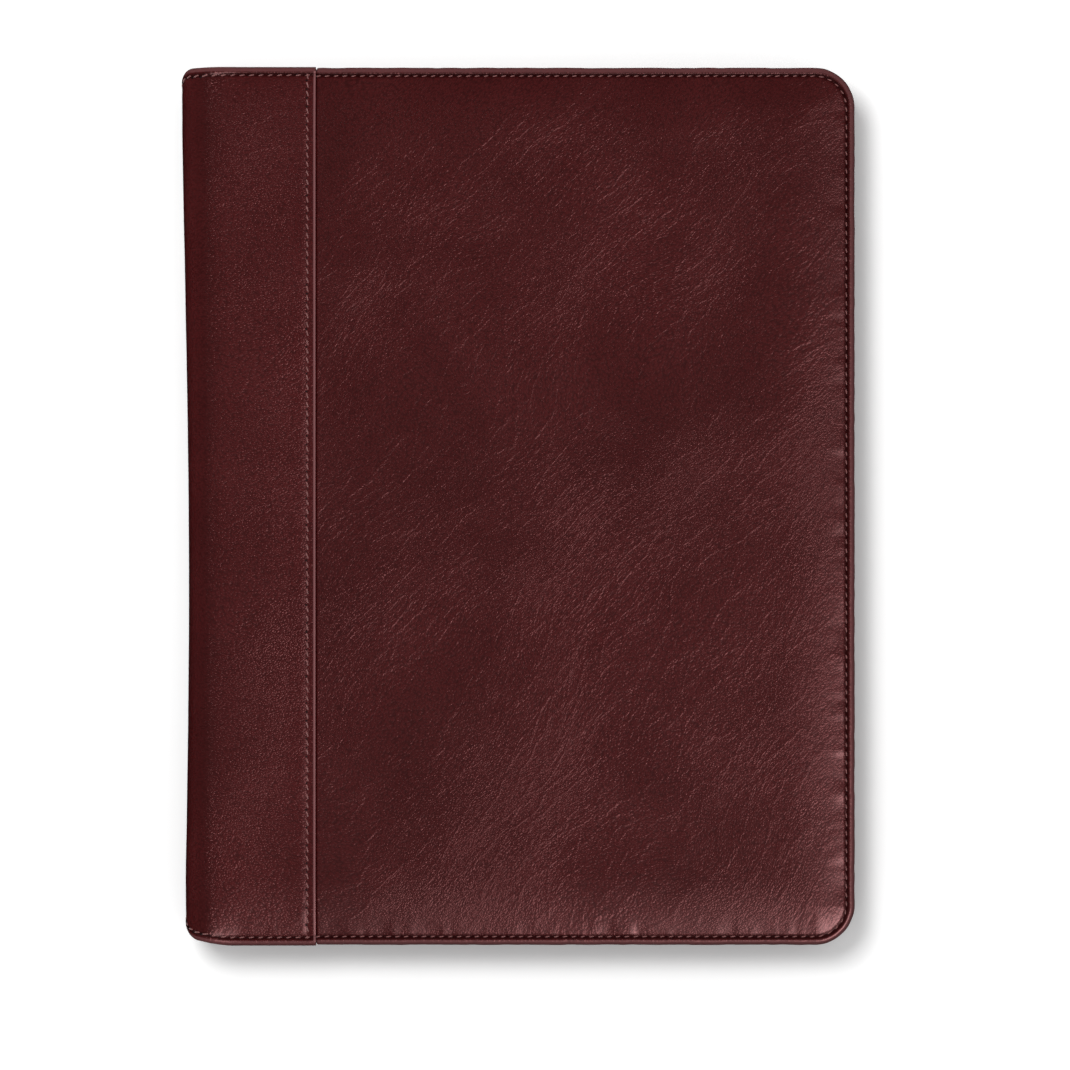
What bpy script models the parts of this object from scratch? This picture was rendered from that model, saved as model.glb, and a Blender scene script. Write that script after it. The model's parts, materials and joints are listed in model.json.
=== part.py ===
"""Leather writing-pad portfolio case, closed and lying on its back cover.

Metres, +Z up. +X runs from the spine to the fore edge and +Y from the tail to the head. The origin is
the centre of the bottom of the case's bounding box.

Two padded covers are joined by a soft spine that folds along two lines. Each cover is a stack: leather,
foam, board, lining. The leather turns round the edge and is stitched. A depth is measured into a cover
from its outer crown, so the same functions build the front cover and the back cover.
"""

import math

import bmesh
import bpy
from mathutils import Vector

MM = 0.001

# The closed case
CASE_WIDTH = 244.0 * MM
CASE_HEIGHT = 318.0 * MM
CORNER_RADIUS = 14.5 * MM
SPINE_RADIUS = 10.5 * MM
CLEARANCE = 0.3 * MM

# Material thicknesses
LEATHER = 1.1 * MM
FOAM = 2.1 * MM
BOARD = 1.5 * MM
LINING = 0.8 * MM
REINFORCEMENT = 0.6 * MM
POCKET_LEATHER = 0.9 * MM
CARD_SLOT_LEATHER = 0.6 * MM

# The stitched, turned edge of a cover and of the spine
PILLOW_WIDTH = 18.0 * MM
STITCH_INSET = 3.1 * MM
TURN_IN = 3.5 * MM
COVER_DIP = 2.4 * MM
COVER_CREST = 2.0 * MM
SPINE_DIP = 1.0 * MM
SPINE_CREST = 0.5 * MM
THREAD_RADIUS = 0.3 * MM
PILLOW_STEPS = 6
BEAD_STEPS = 8
CORNER_STEPS = 7
ARC_STEPS = 4

# The seam where the spine wrap laps over the outer panel
SEAM_FROM_SPINE = 48.7 * MM
SEAM_OVERLAP = 10.0 * MM
SEAM_STITCH_INSET = 3.0 * MM
GROOVE_WIDTH = 1.4 * MM
GROOVE_DEPTH = 0.7 * MM
RIBBON_WIDTH = 0.8 * MM
RIBBON_THICKNESS = 0.4 * MM
JOGGLE_SET_IN = 0.5 * MM

# The fold beside the spine, where the lining steps round the edge of the board
BOARD_INSET = 4.2 * MM
FOAM_INSET = 8.0 * MM
RAMP_OFFSET = 1.0 * MM

# The writing pad
PAD_BACKING = 0.8 * MM
PAD_STACK = 4.6 * MM
PAD_FROM_SPINE = 21.0 * MM
PAD_FROM_FORE_EDGE = 7.0 * MM
PAD_FROM_HEAD = 10.0 * MM
PAD_TO_CARD_SLOTS = 0.6 * MM
TAPE_THICKNESS = 0.4 * MM
TAPE_HEIGHT = 12.0 * MM
STAPLE_WIRE = 0.6 * MM
STAPLE_CROWN = 12.0 * MM
STAPLE_FROM_HEAD = 6.0 * MM
STAPLE_SPACING = 108.0 * MM

# The pockets inside the covers
POCKET_RIM = 2.5 * MM
PAD_PLAY = 0.7 * MM
PAD_POCKET_FROM_HEAD = 37.0 * MM
DOCUMENT_SPACE = 0.5 * MM
MEMO_SPACE = 0.5 * MM
MEMO_POCKET_MARGIN = 5.0 * MM
MEMO_POCKET_TO_CARD_SLOTS = 34.0 * MM
CARD_SLOT_MARGIN = 8.2 * MM
CARD_SLOT_HEIGHT = 60.0 * MM
CARD_SLOT_STEP = 13.0 * MM
CARD_SLOT_COUNT = 3
CARD_SLOTS_FROM_HEAD = 31.0 * MM
POCKET_STITCH_INSET = 1.6 * MM
POCKET_THREAD_RADIUS = 0.2 * MM
THREAD_BEND = 3.0 * MM

# The pen loop
PEN_LOOP_OUTER_RADIUS = 5.6 * MM
PEN_LOOP_LEATHER = 0.9 * MM
PEN_LOOP_LENGTH = 42.0 * MM
PEN_LOOP_TAB_SET_IN = 3.0 * MM
PEN_LOOP_TO_PAD = 2.9 * MM
PEN_LOOP_TO_FRONT = 0.6 * MM
PEN_LOOP_STEPS = 28

# Worked out from the sizes above
SPINE_X = -CASE_WIDTH / 2
FORE_X = CASE_WIDTH / 2
HALF_HEIGHT = CASE_HEIGHT / 2
FOLD_X = SPINE_X + SPINE_RADIUS
SEAM_X = SPINE_X + SEAM_FROM_SPINE
FOAM_TOP = LEATHER + CLEARANCE
FOAM_BOTTOM = FOAM_TOP + FOAM
BOARD_TOP = FOAM_BOTTOM + CLEARANCE
BOARD_BOTTOM = BOARD_TOP + BOARD
LINING_TOP = BOARD_BOTTOM + CLEARANCE
LINING_BOTTOM = LINING_TOP + LINING
TURN_IN_BOTTOM = LINING_TOP + LEATHER
LINING_INSET = TURN_IN + CLEARANCE
SPINE_LINING_TOP = SPINE_DIP + LEATHER + CLEARANCE
SPINE_LINING_BOTTOM = SPINE_LINING_TOP + LINING
SPINE_TURN_IN_BOTTOM = SPINE_LINING_BOTTOM + CLEARANCE
RAMP_X = FOLD_X + RAMP_OFFSET
RAMP_END_X = RAMP_X + LINING_TOP - SPINE_LINING_TOP
# The clearance measured along a 45 degree slope
SLOPE_CLEARANCE = 1.5 * CLEARANCE
PANEL_TONGUE_TOP = LEATHER + CLEARANCE
PANEL_TONGUE_BOTTOM = PANEL_TONGUE_TOP + LEATHER
# A quarter-round of leather that flattens at its own length turns about this point on its diagonal.
FOLD_AXIS_INSET = SPINE_RADIUS * (1 - math.pi / 4)
POCKET_TOP = TURN_IN_BOTTOM
PAD_LEFT = SPINE_X + PAD_FROM_SPINE
PAD_RIGHT = FORE_X - PAD_FROM_FORE_EDGE
PAD_HALF = HALF_HEIGHT - PAD_FROM_HEAD
BACKING_LOW = TURN_IN_BOTTOM + CLEARANCE
BACKING_HIGH = BACKING_LOW + PAD_BACKING
PAD_POCKET_LOW = BACKING_HIGH + CLEARANCE
PAD_POCKET_HIGH = PAD_POCKET_LOW + POCKET_LEATHER
STACK_LOW = PAD_POCKET_HIGH + CLEARANCE
STACK_HIGH = STACK_LOW + PAD_STACK
TAPE_LOW = STACK_HIGH + CLEARANCE
TAPE_HIGH = TAPE_LOW + TAPE_THICKNESS
POCKET_LEFT = PAD_LEFT - PAD_PLAY - POCKET_RIM
POCKET_RIGHT = FORE_X - LINING_INSET
POCKET_TAIL = LINING_INSET - HALF_HEIGHT
POCKET_CORNER = CORNER_RADIUS - LINING_INSET
DOCUMENT_PANEL_TOP = POCKET_TOP + DOCUMENT_SPACE
DOCUMENT_PANEL_BOTTOM = DOCUMENT_PANEL_TOP + POCKET_LEATHER
FRONT_TRIM_TOP = DOCUMENT_PANEL_BOTTOM + CLEARANCE
CARD_SLOTS_BOTTOM = FRONT_TRIM_TOP + CARD_SLOT_COUNT * (CARD_SLOT_LEATHER + CLEARANCE) - CLEARANCE
CARD_SLOTS_RISE = CARD_SLOT_HEIGHT + (CARD_SLOT_COUNT - 1) * CARD_SLOT_STEP
CARD_SLOTS_TAIL = HALF_HEIGHT - CARD_SLOTS_FROM_HEAD - CARD_SLOTS_RISE
POCKET_THREAD_ROOM = CLEARANCE + 2 * POCKET_THREAD_RADIUS
PEN_LOOP_X = PAD_LEFT - PEN_LOOP_TO_PAD - PEN_LOOP_OUTER_RADIUS
# The case closes on whichever stands higher on the back cover: the pad, below the card slots, or the pen loop
CASE_THICKNESS = max(
    STACK_HIGH + PAD_TO_CARD_SLOTS + POCKET_THREAD_ROOM + CARD_SLOTS_BOTTOM,
    POCKET_TOP + 2 * PEN_LOOP_OUTER_RADIUS + PEN_LOOP_TO_FRONT + LINING_BOTTOM,
)


def cover_z(side, depth):
    """The height of a depth measured into the front or the back cover."""
    return CASE_THICKNESS - depth if side == "front" else depth


def smooth_step(share):
    return 0.5 - 0.5 * math.cos(math.pi * min(1.0, max(0.0, share)))


def pillow_depth(inset, dip=COVER_DIP):
    """How far the leather lies below its crown at a distance from the edge, outside the stitching."""
    return dip * smooth_step((PILLOW_WIDTH - inset) / (PILLOW_WIDTH - STITCH_INSET))


def spaced(start, end, steps):
    return [start + (end - start) * i / steps for i in range(steps + 1)]


# ---------------------------------------------------------------- materials and objects


def material(name, colour, roughness, metallic=0.0):
    made = bpy.data.materials.new(name)
    made.use_nodes = True
    shader = made.node_tree.nodes["Principled BSDF"]
    shader.inputs["Base Color"].default_value = (*colour, 1.0)
    shader.inputs["Roughness"].default_value = roughness
    shader.inputs["Metallic"].default_value = metallic
    made.diffuse_color = (*colour, 1.0)
    return made


def body(name, pivot):
    """An empty on the joint axis of a moving body, which carries that body's pieces."""
    made = bpy.data.objects.new(name, None)
    made.location = pivot
    bpy.context.scene.collection.objects.link(made)
    return made


def place(name, data, carrier, finish):
    data.materials.append(finish)
    made = bpy.data.objects.new(name, data)
    made.parent = carrier
    bpy.context.scene.collection.objects.link(made)
    return made


def add_piece(name, shape, carrier, finish):
    """Makes an object of a shape drawn in the case's frame, with its origin on its body's axis."""
    bmesh.ops.recalc_face_normals(shape, faces=shape.faces)
    bmesh.ops.translate(shape, verts=shape.verts, vec=-carrier.location)
    mesh = bpy.data.meshes.new(name)
    shape.to_mesh(mesh)
    shape.free()
    mesh.shade_smooth()
    mesh.set_sharp_from_angle(angle=math.radians(35))
    return place(name, mesh, carrier, finish)


def add_thread(name, points, radius, carrier, finish):
    """A sewing thread along a seam."""
    curve = bpy.data.curves.new(name, "CURVE")
    curve.dimensions = "3D"
    curve.bevel_depth = radius
    curve.bevel_resolution = 1
    curve.use_fill_caps = True
    line = curve.splines.new("POLY")
    line.points.add(len(points) - 1)
    for corner, point in zip(line.points, points):
        corner.co = (*(Vector(point) - carrier.location), 1.0)
    return place(name, curve, carrier, finish)


def boolean(target, operation, name, shape, carrier):
    """Cuts a shape from a piece, or joins it on. The tool object stays as a hidden wire."""
    tool = add_piece(name, shape, carrier, target.data.materials[0])
    tool.hide_render = True
    tool.display_type = "WIRE"
    step = target.modifiers.new(name, "BOOLEAN")
    step.operation = operation
    step.solver = "EXACT"
    step.object = tool


# ---------------------------------------------------------------- shapes


def loft(rings):
    """A closed skin through rings of equal length, capped at both ends."""
    shape = bmesh.new()
    rows = [[shape.verts.new(point) for point in ring] for ring in rings]
    for near, far in zip(rows, rows[1:]):
        for i in range(len(near)):
            j = (i + 1) % len(near)
            shape.faces.new((near[i], near[j], far[j], far[i]))
    shape.faces.new(rows[0])
    shape.faces.new(rows[-1])
    return shape


def rounded_outline(x0, x1, y0, y1, left_radius, right_radius, head_radius=None):
    """A rectangle with one radius at its left corners and another at its right. The head's two can differ."""
    tail_left, tail_right = left_radius, right_radius
    head_left = left_radius if head_radius is None else head_radius
    head_right = right_radius if head_radius is None else head_radius
    corners = (
        (x1 - tail_right, y0 + tail_right, tail_right, -90),
        (x1 - head_right, y1 - head_right, head_right, 0),
        (x0 + head_left, y1 - head_left, head_left, 90),
        (x0 + tail_left, y0 + tail_left, tail_left, 180),
    )
    points = []
    for x, y, radius, start in corners:
        for angle in spaced(start, start + 90, CORNER_STEPS):
            turn = math.radians(angle)
            points.append((x + radius * math.cos(turn), y + radius * math.sin(turn)))
    return points


def plate(outline, low, high):
    return loft([[(x, y, z) for x, y in outline] for z in (low, high)])


def box(x0, x1, y0, y1, low, high):
    return plate([(x0, y0), (x1, y0), (x1, y1), (x0, y1)], min(low, high), max(low, high))


def prism_along_y(profile, y0, y1):
    return loft([[(x, y, z) for x, z in profile] for y in (y0, y1)])


def prism_along_x(profile, x0, x1):
    return loft([[(x, y, z) for y, z in profile] for x in (x0, x1)])


def edge_section(dip, crest, turn_in_bottom):
    """(inset, depth) points of the leather at a stitched edge: its outside, the bead, then its inside."""
    bead = (turn_in_bottom - crest) / 2
    inner_bead = bead - LEATHER
    insets = spaced(PILLOW_WIDTH, STITCH_INSET, PILLOW_STEPS)
    outside = [(inset, pillow_depth(inset, dip)) for inset in insets]
    angles = spaced(0, math.pi, BEAD_STEPS)
    round_outside = [(bead - bead * math.sin(a), crest + bead - bead * math.cos(a)) for a in angles]
    turned_end = [(TURN_IN, turn_in_bottom), (TURN_IN, turn_in_bottom - LEATHER)]
    round_inside = [
        (bead - inner_bead * math.sin(a), crest + bead - inner_bead * math.cos(a)) for a in reversed(angles)
    ]
    inside = [(inset, depth + LEATHER) for inset, depth in reversed(outside)]
    return outside + round_outside + turned_end + round_inside + inside


COVER_EDGE = edge_section(COVER_DIP, COVER_CREST, TURN_IN_BOTTOM)
SPINE_EDGE = edge_section(SPINE_DIP, SPINE_CREST, SPINE_TURN_IN_BOTTOM)


def blended_edge(share):
    """The edge section part of the way from that of a cover (0) to that of the spine (1)."""
    return [
        (a[0] + (b[0] - a[0]) * share, a[1] + (b[1] - a[1]) * share) for a, b in zip(COVER_EDGE, SPINE_EDGE)
    ]


def cover_tray(side):
    """A whole cover's leather with its edge turned all round. It runs past the spine, where it is cut off."""
    runout = SPINE_X - PILLOW_WIDTH - CORNER_RADIUS
    rings = []
    for inset, depth in COVER_EDGE:
        radius = max(CORNER_RADIUS - inset, CLEARANCE)
        reach = HALF_HEIGHT - inset
        outline = rounded_outline(runout + inset, FORE_X - inset, -reach, reach, radius, radius)
        rings.append([(x, y, cover_z(side, depth)) for x, y in outline])
    return loft(rings)


def wrap_stations(side, half_gap):
    """The flap and half fold of the spine wrap: (x, z, outward normal x, outward normal z, spine share)."""
    stations = [(x, cover_z(side, 0.0), 0.0, 1.0, share) for x, share in (
        (SEAM_X, 0.0),
        (RAMP_END_X, 0.0),
        ((RAMP_X + RAMP_END_X) / 2, 0.5),
        (RAMP_X, 1.0),
    )]
    for angle in spaced(90, 135 - math.degrees(half_gap / SPINE_RADIUS), ARC_STEPS):
        stations.append(fold_station(side, angle))
    if side == "back":
        stations = [(x, z, nx, -abs(nz), share) for x, z, nx, nz, share in stations]
    return stations


def fold_station(side, angle):
    """A point on the fold's quarter round, at an angle from the fore edge for the front cover."""
    nx, nz = math.cos(math.radians(angle)), math.sin(math.radians(angle))
    x = FOLD_X + SPINE_RADIUS * nx
    z = cover_z(side, SPINE_RADIUS - SPINE_RADIUS * nz)
    return (x, z, nx, nz, 1.0)


def middle_stations(half_gap):
    """The middle of the spine wrap, from the front fold line to the back fold line."""
    start = 135 + math.degrees(half_gap / SPINE_RADIUS)
    front = [fold_station("front", angle) for angle in spaced(start, 180, ARC_STEPS)]
    back = [(x, CASE_THICKNESS - z, nx, -nz, share) for x, z, nx, nz, share in reversed(front)]
    return front + back


def swept_edge_leather(stations):
    """Leather swept along a path in the XZ plane, with its head and tail edges turned and stitched."""
    rings = []
    for x, z, nx, nz, share in stations:
        section = blended_edge(share)
        head = [(HALF_HEIGHT - inset, depth) for inset, depth in section]
        tail = [(inset - HALF_HEIGHT, depth) for inset, depth in reversed(section)]
        rings.append([(x - nx * depth, y, z - nz * depth) for y, depth in head + tail])
    return loft(rings)


def swept_strip(stations, top, bottom, inset):
    """A plain strip between two depths under a path in the XZ plane."""
    outer = [(x - nx * top, z - nz * top) for x, z, nx, nz, _ in stations]
    inner = [(x - nx * bottom, z - nz * bottom) for x, z, nx, nz, _ in reversed(stations)]
    return prism_along_y(outer + inner, inset - HALF_HEIGHT, HALF_HEIGHT - inset)


def pillow_ribbon(side, x0, x1, top, bottom, end_inset):
    """A strip along the seam, between two depths below the leather's outside, as far as the edges."""
    insets = [end_inset] + [i for i in spaced(STITCH_INSET, PILLOW_WIDTH, PILLOW_STEPS) if i > end_inset]
    line = [(inset - HALF_HEIGHT, pillow_depth(inset)) for inset in insets]
    line += [(-y, depth) for y, depth in reversed(line)]
    upper = [(y, cover_z(side, depth + top)) for y, depth in line]
    lower = [(y, cover_z(side, depth + bottom)) for y, depth in reversed(line)]
    return prism_along_x(upper + lower, x0, x1)


# ---------------------------------------------------------------- the covers


def outer_panel(side, carrier, leather):
    """The padded outer leather, with a tongue that runs on under the spine wrap."""
    panel = add_piece(f"{side}_outer_panel", cover_tray(side), carrier, leather)
    left = SPINE_X - 2 * (PILLOW_WIDTH + CORNER_RADIUS)
    beyond = CASE_THICKNESS
    trim = box(left, SEAM_X + CLEARANCE, -CASE_HEIGHT, CASE_HEIGHT, -beyond, 2 * beyond)
    boolean(panel, "DIFFERENCE", f"{side}_panel_trim", trim, carrier)
    step_x = SEAM_X + CLEARANCE + JOGGLE_SET_IN
    joggle = [
        (SEAM_X - SEAM_OVERLAP, PANEL_TONGUE_TOP),
        (step_x, PANEL_TONGUE_TOP),
        (step_x, LEATHER / 2),
        (step_x + LEATHER, LEATHER / 2),
        (step_x + LEATHER, PANEL_TONGUE_BOTTOM),
        (SEAM_X - SEAM_OVERLAP, PANEL_TONGUE_BOTTOM),
    ]
    reach = HALF_HEIGHT - PILLOW_WIDTH - CLEARANCE
    tongue = prism_along_y([(x, cover_z(side, depth)) for x, depth in joggle], -reach, reach)
    boolean(panel, "UNION", f"{side}_panel_tongue", tongue, carrier)


def spine_wrap_flap(side, carrier, leather):
    """The part of the spine wrap that lies on a cover, as far as the fold line."""
    name = f"spine_wrap_{side}_flap"
    flap = add_piece(name, swept_edge_leather(wrap_stations(side, CLEARANCE / 2)), carrier, leather)
    x = SEAM_X - SEAM_STITCH_INSET
    half = GROOVE_WIDTH / 2
    groove = pillow_ribbon(side, x - half, x + half, -LEATHER, GROOVE_DEPTH, 2 * STITCH_INSET - CLEARANCE)
    boolean(flap, "DIFFERENCE", f"{side}_stitch_groove", groove, carrier)


def foam_padding(side, carrier, foam):
    """Foam whose edge thins out under the rolled-off leather, with a channel where the seam is doubled."""
    left = RAMP_X + FOAM_BOTTOM - SPINE_LINING_TOP + SLOPE_CLEARANCE
    rings = []
    for inset in spaced(PILLOW_WIDTH, FOAM_INSET, PILLOW_STEPS - 2):
        radius = max(CORNER_RADIUS - inset, CLEARANCE)
        reach = HALF_HEIGHT - inset
        outline = rounded_outline(left, FORE_X - inset, -reach, reach, CLEARANCE, radius)
        rings.append([(x, y, cover_z(side, FOAM_TOP + pillow_depth(inset))) for x, y in outline])
    rings.append([(x, y, cover_z(side, FOAM_BOTTOM)) for x, y in outline])
    padding = add_piece(f"{side}_foam_padding", loft(rings), carrier, foam)
    channel = box(
        SEAM_X - SEAM_OVERLAP - CLEARANCE,
        SEAM_X + JOGGLE_SET_IN + LEATHER + 2 * CLEARANCE,
        -CASE_HEIGHT,
        CASE_HEIGHT,
        cover_z(side, -LEATHER),
        cover_z(side, PANEL_TONGUE_BOTTOM + CLEARANCE),
    )
    boolean(padding, "DIFFERENCE", f"{side}_foam_channel", channel, carrier)


def cover_board(side, carrier, card):
    reach = HALF_HEIGHT - BOARD_INSET
    left = RAMP_X + BOARD_BOTTOM - SPINE_LINING_TOP + SLOPE_CLEARANCE
    radius = CORNER_RADIUS - BOARD_INSET
    outline = rounded_outline(left, FORE_X - BOARD_INSET, -reach, reach, BOARD, radius)
    low, high = sorted((cover_z(side, BOARD_TOP), cover_z(side, BOARD_BOTTOM)))
    add_piece(f"{side}_board", plate(outline, low, high), carrier, card)


def cover_lining(side, carrier, lining):
    """The lining, which steps round the edge of the board and runs on to the fold line."""
    right = FORE_X - LINING_INSET
    path = [(right, LINING_TOP), (RAMP_END_X, LINING_TOP), (RAMP_X, SPINE_LINING_TOP)]
    upper = [(x, cover_z(side, depth)) for x, depth in path]
    lower = [(x, cover_z(side, depth + LINING)) for x, depth in path]
    for x, z, nx, nz, _ in wrap_stations(side, CLEARANCE / 2)[-ARC_STEPS - 1 :]:
        upper.append((x - nx * SPINE_LINING_TOP, z - nz * SPINE_LINING_TOP))
        lower.append((x - nx * SPINE_LINING_BOTTOM, z - nz * SPINE_LINING_BOTTOM))
    reach = HALF_HEIGHT - LINING_INSET
    shape = prism_along_y(upper + list(reversed(lower)), -reach, reach)
    shape.verts.ensure_lookup_table()
    corners = [
        edge
        for edge in shape.edges
        if all(abs(v.co.x - right) < CLEARANCE for v in edge.verts)
        and abs(edge.verts[0].co.y - edge.verts[1].co.y) < CLEARANCE
    ]
    bmesh.ops.bevel(
        shape,
        geom=corners,
        offset=CORNER_RADIUS - LINING_INSET,
        segments=CORNER_STEPS,
        profile=0.5,
        affect="EDGES",
    )
    add_piece(f"{side}_lining", shape, carrier, lining)


def edge_thread(side, carrier, thread):
    """The thread round the head, fore edge and tail of a cover, lying in the stitched dip."""
    reach = HALF_HEIGHT - STITCH_INSET
    radius = CORNER_RADIUS - STITCH_INSET
    outline = rounded_outline(RAMP_END_X, FORE_X - STITCH_INSET, -reach, reach, 0.0, radius)
    z = cover_z(side, COVER_DIP - CLEARANCE - 4 / 3 * THREAD_RADIUS)
    bends = outline[: 2 * (CORNER_STEPS + 1)]
    points = [(RAMP_END_X, -reach, z), *((x, y, z) for x, y in bends), (RAMP_END_X, reach, z)]
    add_thread(f"{side}_edge_thread", points, THREAD_RADIUS, carrier, thread)


def seam_thread(side, carrier, thread):
    x = SEAM_X - SEAM_STITCH_INSET
    half = RIBBON_WIDTH / 2
    ribbon = pillow_ribbon(side, x - half, x + half, 0.0, RIBBON_THICKNESS, 2 * STITCH_INSET)
    add_piece(f"{side}_seam_thread", ribbon, carrier, thread)


def build_cover(side, carrier, finish):
    outer_panel(side, carrier, finish["leather"])
    spine_wrap_flap(side, carrier, finish["leather"])
    foam_padding(side, carrier, finish["foam"])
    cover_board(side, carrier, finish["board"])
    cover_lining(side, carrier, finish["lining"])
    edge_thread(side, carrier, finish["thread"])
    seam_thread(side, carrier, finish["thread"])


# ---------------------------------------------------------------- the spine


def build_spine(carrier, finish):
    stations = middle_stations(CLEARANCE / 2)
    add_piece("spine_wrap_middle", swept_edge_leather(stations), carrier, finish["leather"])
    top = LEATHER + CLEARANCE
    strip = swept_strip(stations, top, top + REINFORCEMENT, PILLOW_WIDTH)
    add_piece("spine_reinforcement", strip, carrier, finish["board"])
    strip = swept_strip(stations, SPINE_LINING_TOP, SPINE_LINING_BOTTOM, LINING_INSET)
    add_piece("spine_lining", strip, carrier, finish["lining"])
    depth = SPINE_DIP - CLEARANCE - THREAD_RADIUS
    for end, y in (("head", HALF_HEIGHT - STITCH_INSET), ("tail", STITCH_INSET - HALF_HEIGHT)):
        points = [(x - nx * depth, y, z - nz * depth) for x, z, nx, nz, _ in stations]
        add_thread(f"spine_{end}_thread", points, THREAD_RADIUS, carrier, finish["thread"])


# ---------------------------------------------------------------- inside the covers


def pocket_thread(name, side, bounds, depth, carrier, thread, right_bend=THREAD_BEND):
    """A thread round three sides of a pocket that is open at its head."""
    x0, x1, y0, y1 = bounds
    outline = rounded_outline(x0, x1, y0, 2 * y1 - y0, THREAD_BEND, right_bend)
    bends = outline[3 * (CORNER_STEPS + 1) :] + outline[: CORNER_STEPS + 1]
    z = cover_z(side, depth + CLEARANCE + POCKET_THREAD_RADIUS)
    points = [(x0, y1, z), *((x, y, z) for x, y in bends), (x1, y1, z)]
    add_thread(name, points, POCKET_THREAD_RADIUS, carrier, thread)


def pad_pocket(carrier, finish):
    """The panel that the pad's backing card slides behind, sewn down at its two sides and its tail."""
    head = PAD_HALF - PAD_POCKET_FROM_HEAD
    outline = rounded_outline(
        POCKET_LEFT, POCKET_RIGHT, POCKET_TAIL, head, CLEARANCE, POCKET_CORNER, CLEARANCE
    )
    shape = plate(outline, POCKET_TOP, PAD_POCKET_HIGH)
    panel = add_piece("pad_pocket_panel", shape, carrier, finish["pocket_leather"])
    left, right, tail = PAD_LEFT - PAD_PLAY, PAD_RIGHT + PAD_PLAY, -PAD_HALF - PAD_PLAY
    slot = box(left, right, tail, CASE_HEIGHT, 0.0, PAD_POCKET_LOW)
    boolean(panel, "DIFFERENCE", "pad_pocket_slot", slot, carrier)
    inset = POCKET_STITCH_INSET
    # The tail seam lies below the pad, where nothing covers it; the side seams lie beside the pad.
    bounds = (POCKET_LEFT + inset, POCKET_RIGHT - inset, POCKET_TAIL + inset, head - inset)
    bend = POCKET_CORNER - inset
    pocket_thread("pad_pocket_thread", "back", bounds, PAD_POCKET_HIGH, carrier, finish["thread"], bend)


def document_pocket(carrier, finish):
    """A full-height panel on the front cover, sewn at head, fore edge and tail and open to the gutter."""
    bottom, top = cover_z("front", DOCUMENT_PANEL_BOTTOM), cover_z("front", POCKET_TOP)
    outline = rounded_outline(POCKET_LEFT, POCKET_RIGHT, POCKET_TAIL, -POCKET_TAIL, CLEARANCE, POCKET_CORNER)
    shape = plate(outline, bottom, top)
    panel = add_piece("document_pocket_panel", shape, carrier, finish["pocket_leather"])
    right, reach = POCKET_RIGHT - POCKET_RIM, -POCKET_TAIL - POCKET_RIM
    outline = rounded_outline(SPINE_X, right, -reach, reach, CLEARANCE, POCKET_CORNER - POCKET_RIM)
    space = plate(outline, cover_z("front", DOCUMENT_PANEL_TOP), 2 * CASE_THICKNESS)
    boolean(panel, "DIFFERENCE", "document_space", space, carrier)
    x0, x1 = POCKET_LEFT, POCKET_RIGHT - POCKET_STITCH_INSET
    y1 = -POCKET_TAIL - POCKET_STITCH_INSET
    outline = rounded_outline(x0, x1, -y1, y1, 0.0, POCKET_CORNER - POCKET_STITCH_INSET)
    z = cover_z("front", DOCUMENT_PANEL_BOTTOM + CLEARANCE + POCKET_THREAD_RADIUS)
    bends = outline[: 2 * (CORNER_STEPS + 1)]
    points = [(x0, -y1, z), *((x, y, z) for x, y in bends), (x0, y1, z)]
    add_thread("document_pocket_thread", points, POCKET_THREAD_RADIUS, carrier, finish["thread"])


def memo_pocket(carrier, finish):
    """A half-height pocket on the document panel, open at its head."""
    x0, x1 = POCKET_LEFT + MEMO_POCKET_MARGIN, POCKET_RIGHT - MEMO_POCKET_MARGIN
    y0 = POCKET_TAIL + MEMO_POCKET_MARGIN
    y1 = CARD_SLOTS_TAIL - MEMO_POCKET_TO_CARD_SLOTS
    depth = FRONT_TRIM_TOP + MEMO_SPACE
    bottom = cover_z("front", depth + POCKET_LEATHER)
    shape = box(x0, x1, y0, y1, bottom, cover_z("front", FRONT_TRIM_TOP))
    panel = add_piece("memo_pocket_panel", shape, carrier, finish["pocket_leather"])
    rim = POCKET_RIM
    space = box(x0 + rim, x1 - rim, y0 + rim, CASE_HEIGHT, cover_z("front", depth), 2 * CASE_THICKNESS)
    boolean(panel, "DIFFERENCE", "memo_space", space, carrier)
    inset = POCKET_STITCH_INSET
    bounds = (x0 + inset, x1 - inset, y0 + inset, y1 - inset)
    pocket_thread("memo_pocket_thread", "front", bounds, depth + POCKET_LEATHER, carrier, finish["thread"])


def card_slots(carrier, finish):
    """Stepped strips of thin leather, sewn at the sides, the tail and down the middle into two columns."""
    x0, x1 = POCKET_LEFT + CARD_SLOT_MARGIN, POCKET_RIGHT - CARD_SLOT_MARGIN
    for number in range(1, CARD_SLOT_COUNT + 1):
        depth = FRONT_TRIM_TOP + (number - 1) * (CARD_SLOT_LEATHER + CLEARANCE)
        rise = CARD_SLOT_HEIGHT + (CARD_SLOT_COUNT - number) * CARD_SLOT_STEP
        low, high = cover_z("front", depth + CARD_SLOT_LEATHER), cover_z("front", depth)
        shape = box(x0, x1, CARD_SLOTS_TAIL, CARD_SLOTS_TAIL + rise, low, high)
        add_piece(f"card_slot_panel_{number}", shape, carrier, finish["pocket_leather"])
    inset = POCKET_STITCH_INSET
    y0, y1 = CARD_SLOTS_TAIL + inset, CARD_SLOTS_TAIL + CARD_SLOT_HEIGHT - inset
    bounds = (x0 + inset, x1 - inset, y0, y1)
    pocket_thread("card_slot_thread", "front", bounds, CARD_SLOTS_BOTTOM, carrier, finish["thread"])
    z = cover_z("front", CARD_SLOTS_BOTTOM + CLEARANCE + POCKET_THREAD_RADIUS)
    start = y0 + 2 * POCKET_THREAD_RADIUS + CLEARANCE
    centre = (x0 + x1) / 2
    ends = [(centre, start, z), (centre, y1, z)]
    add_thread("card_slot_divider_thread", ends, POCKET_THREAD_RADIUS, carrier, finish["thread"])


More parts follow.
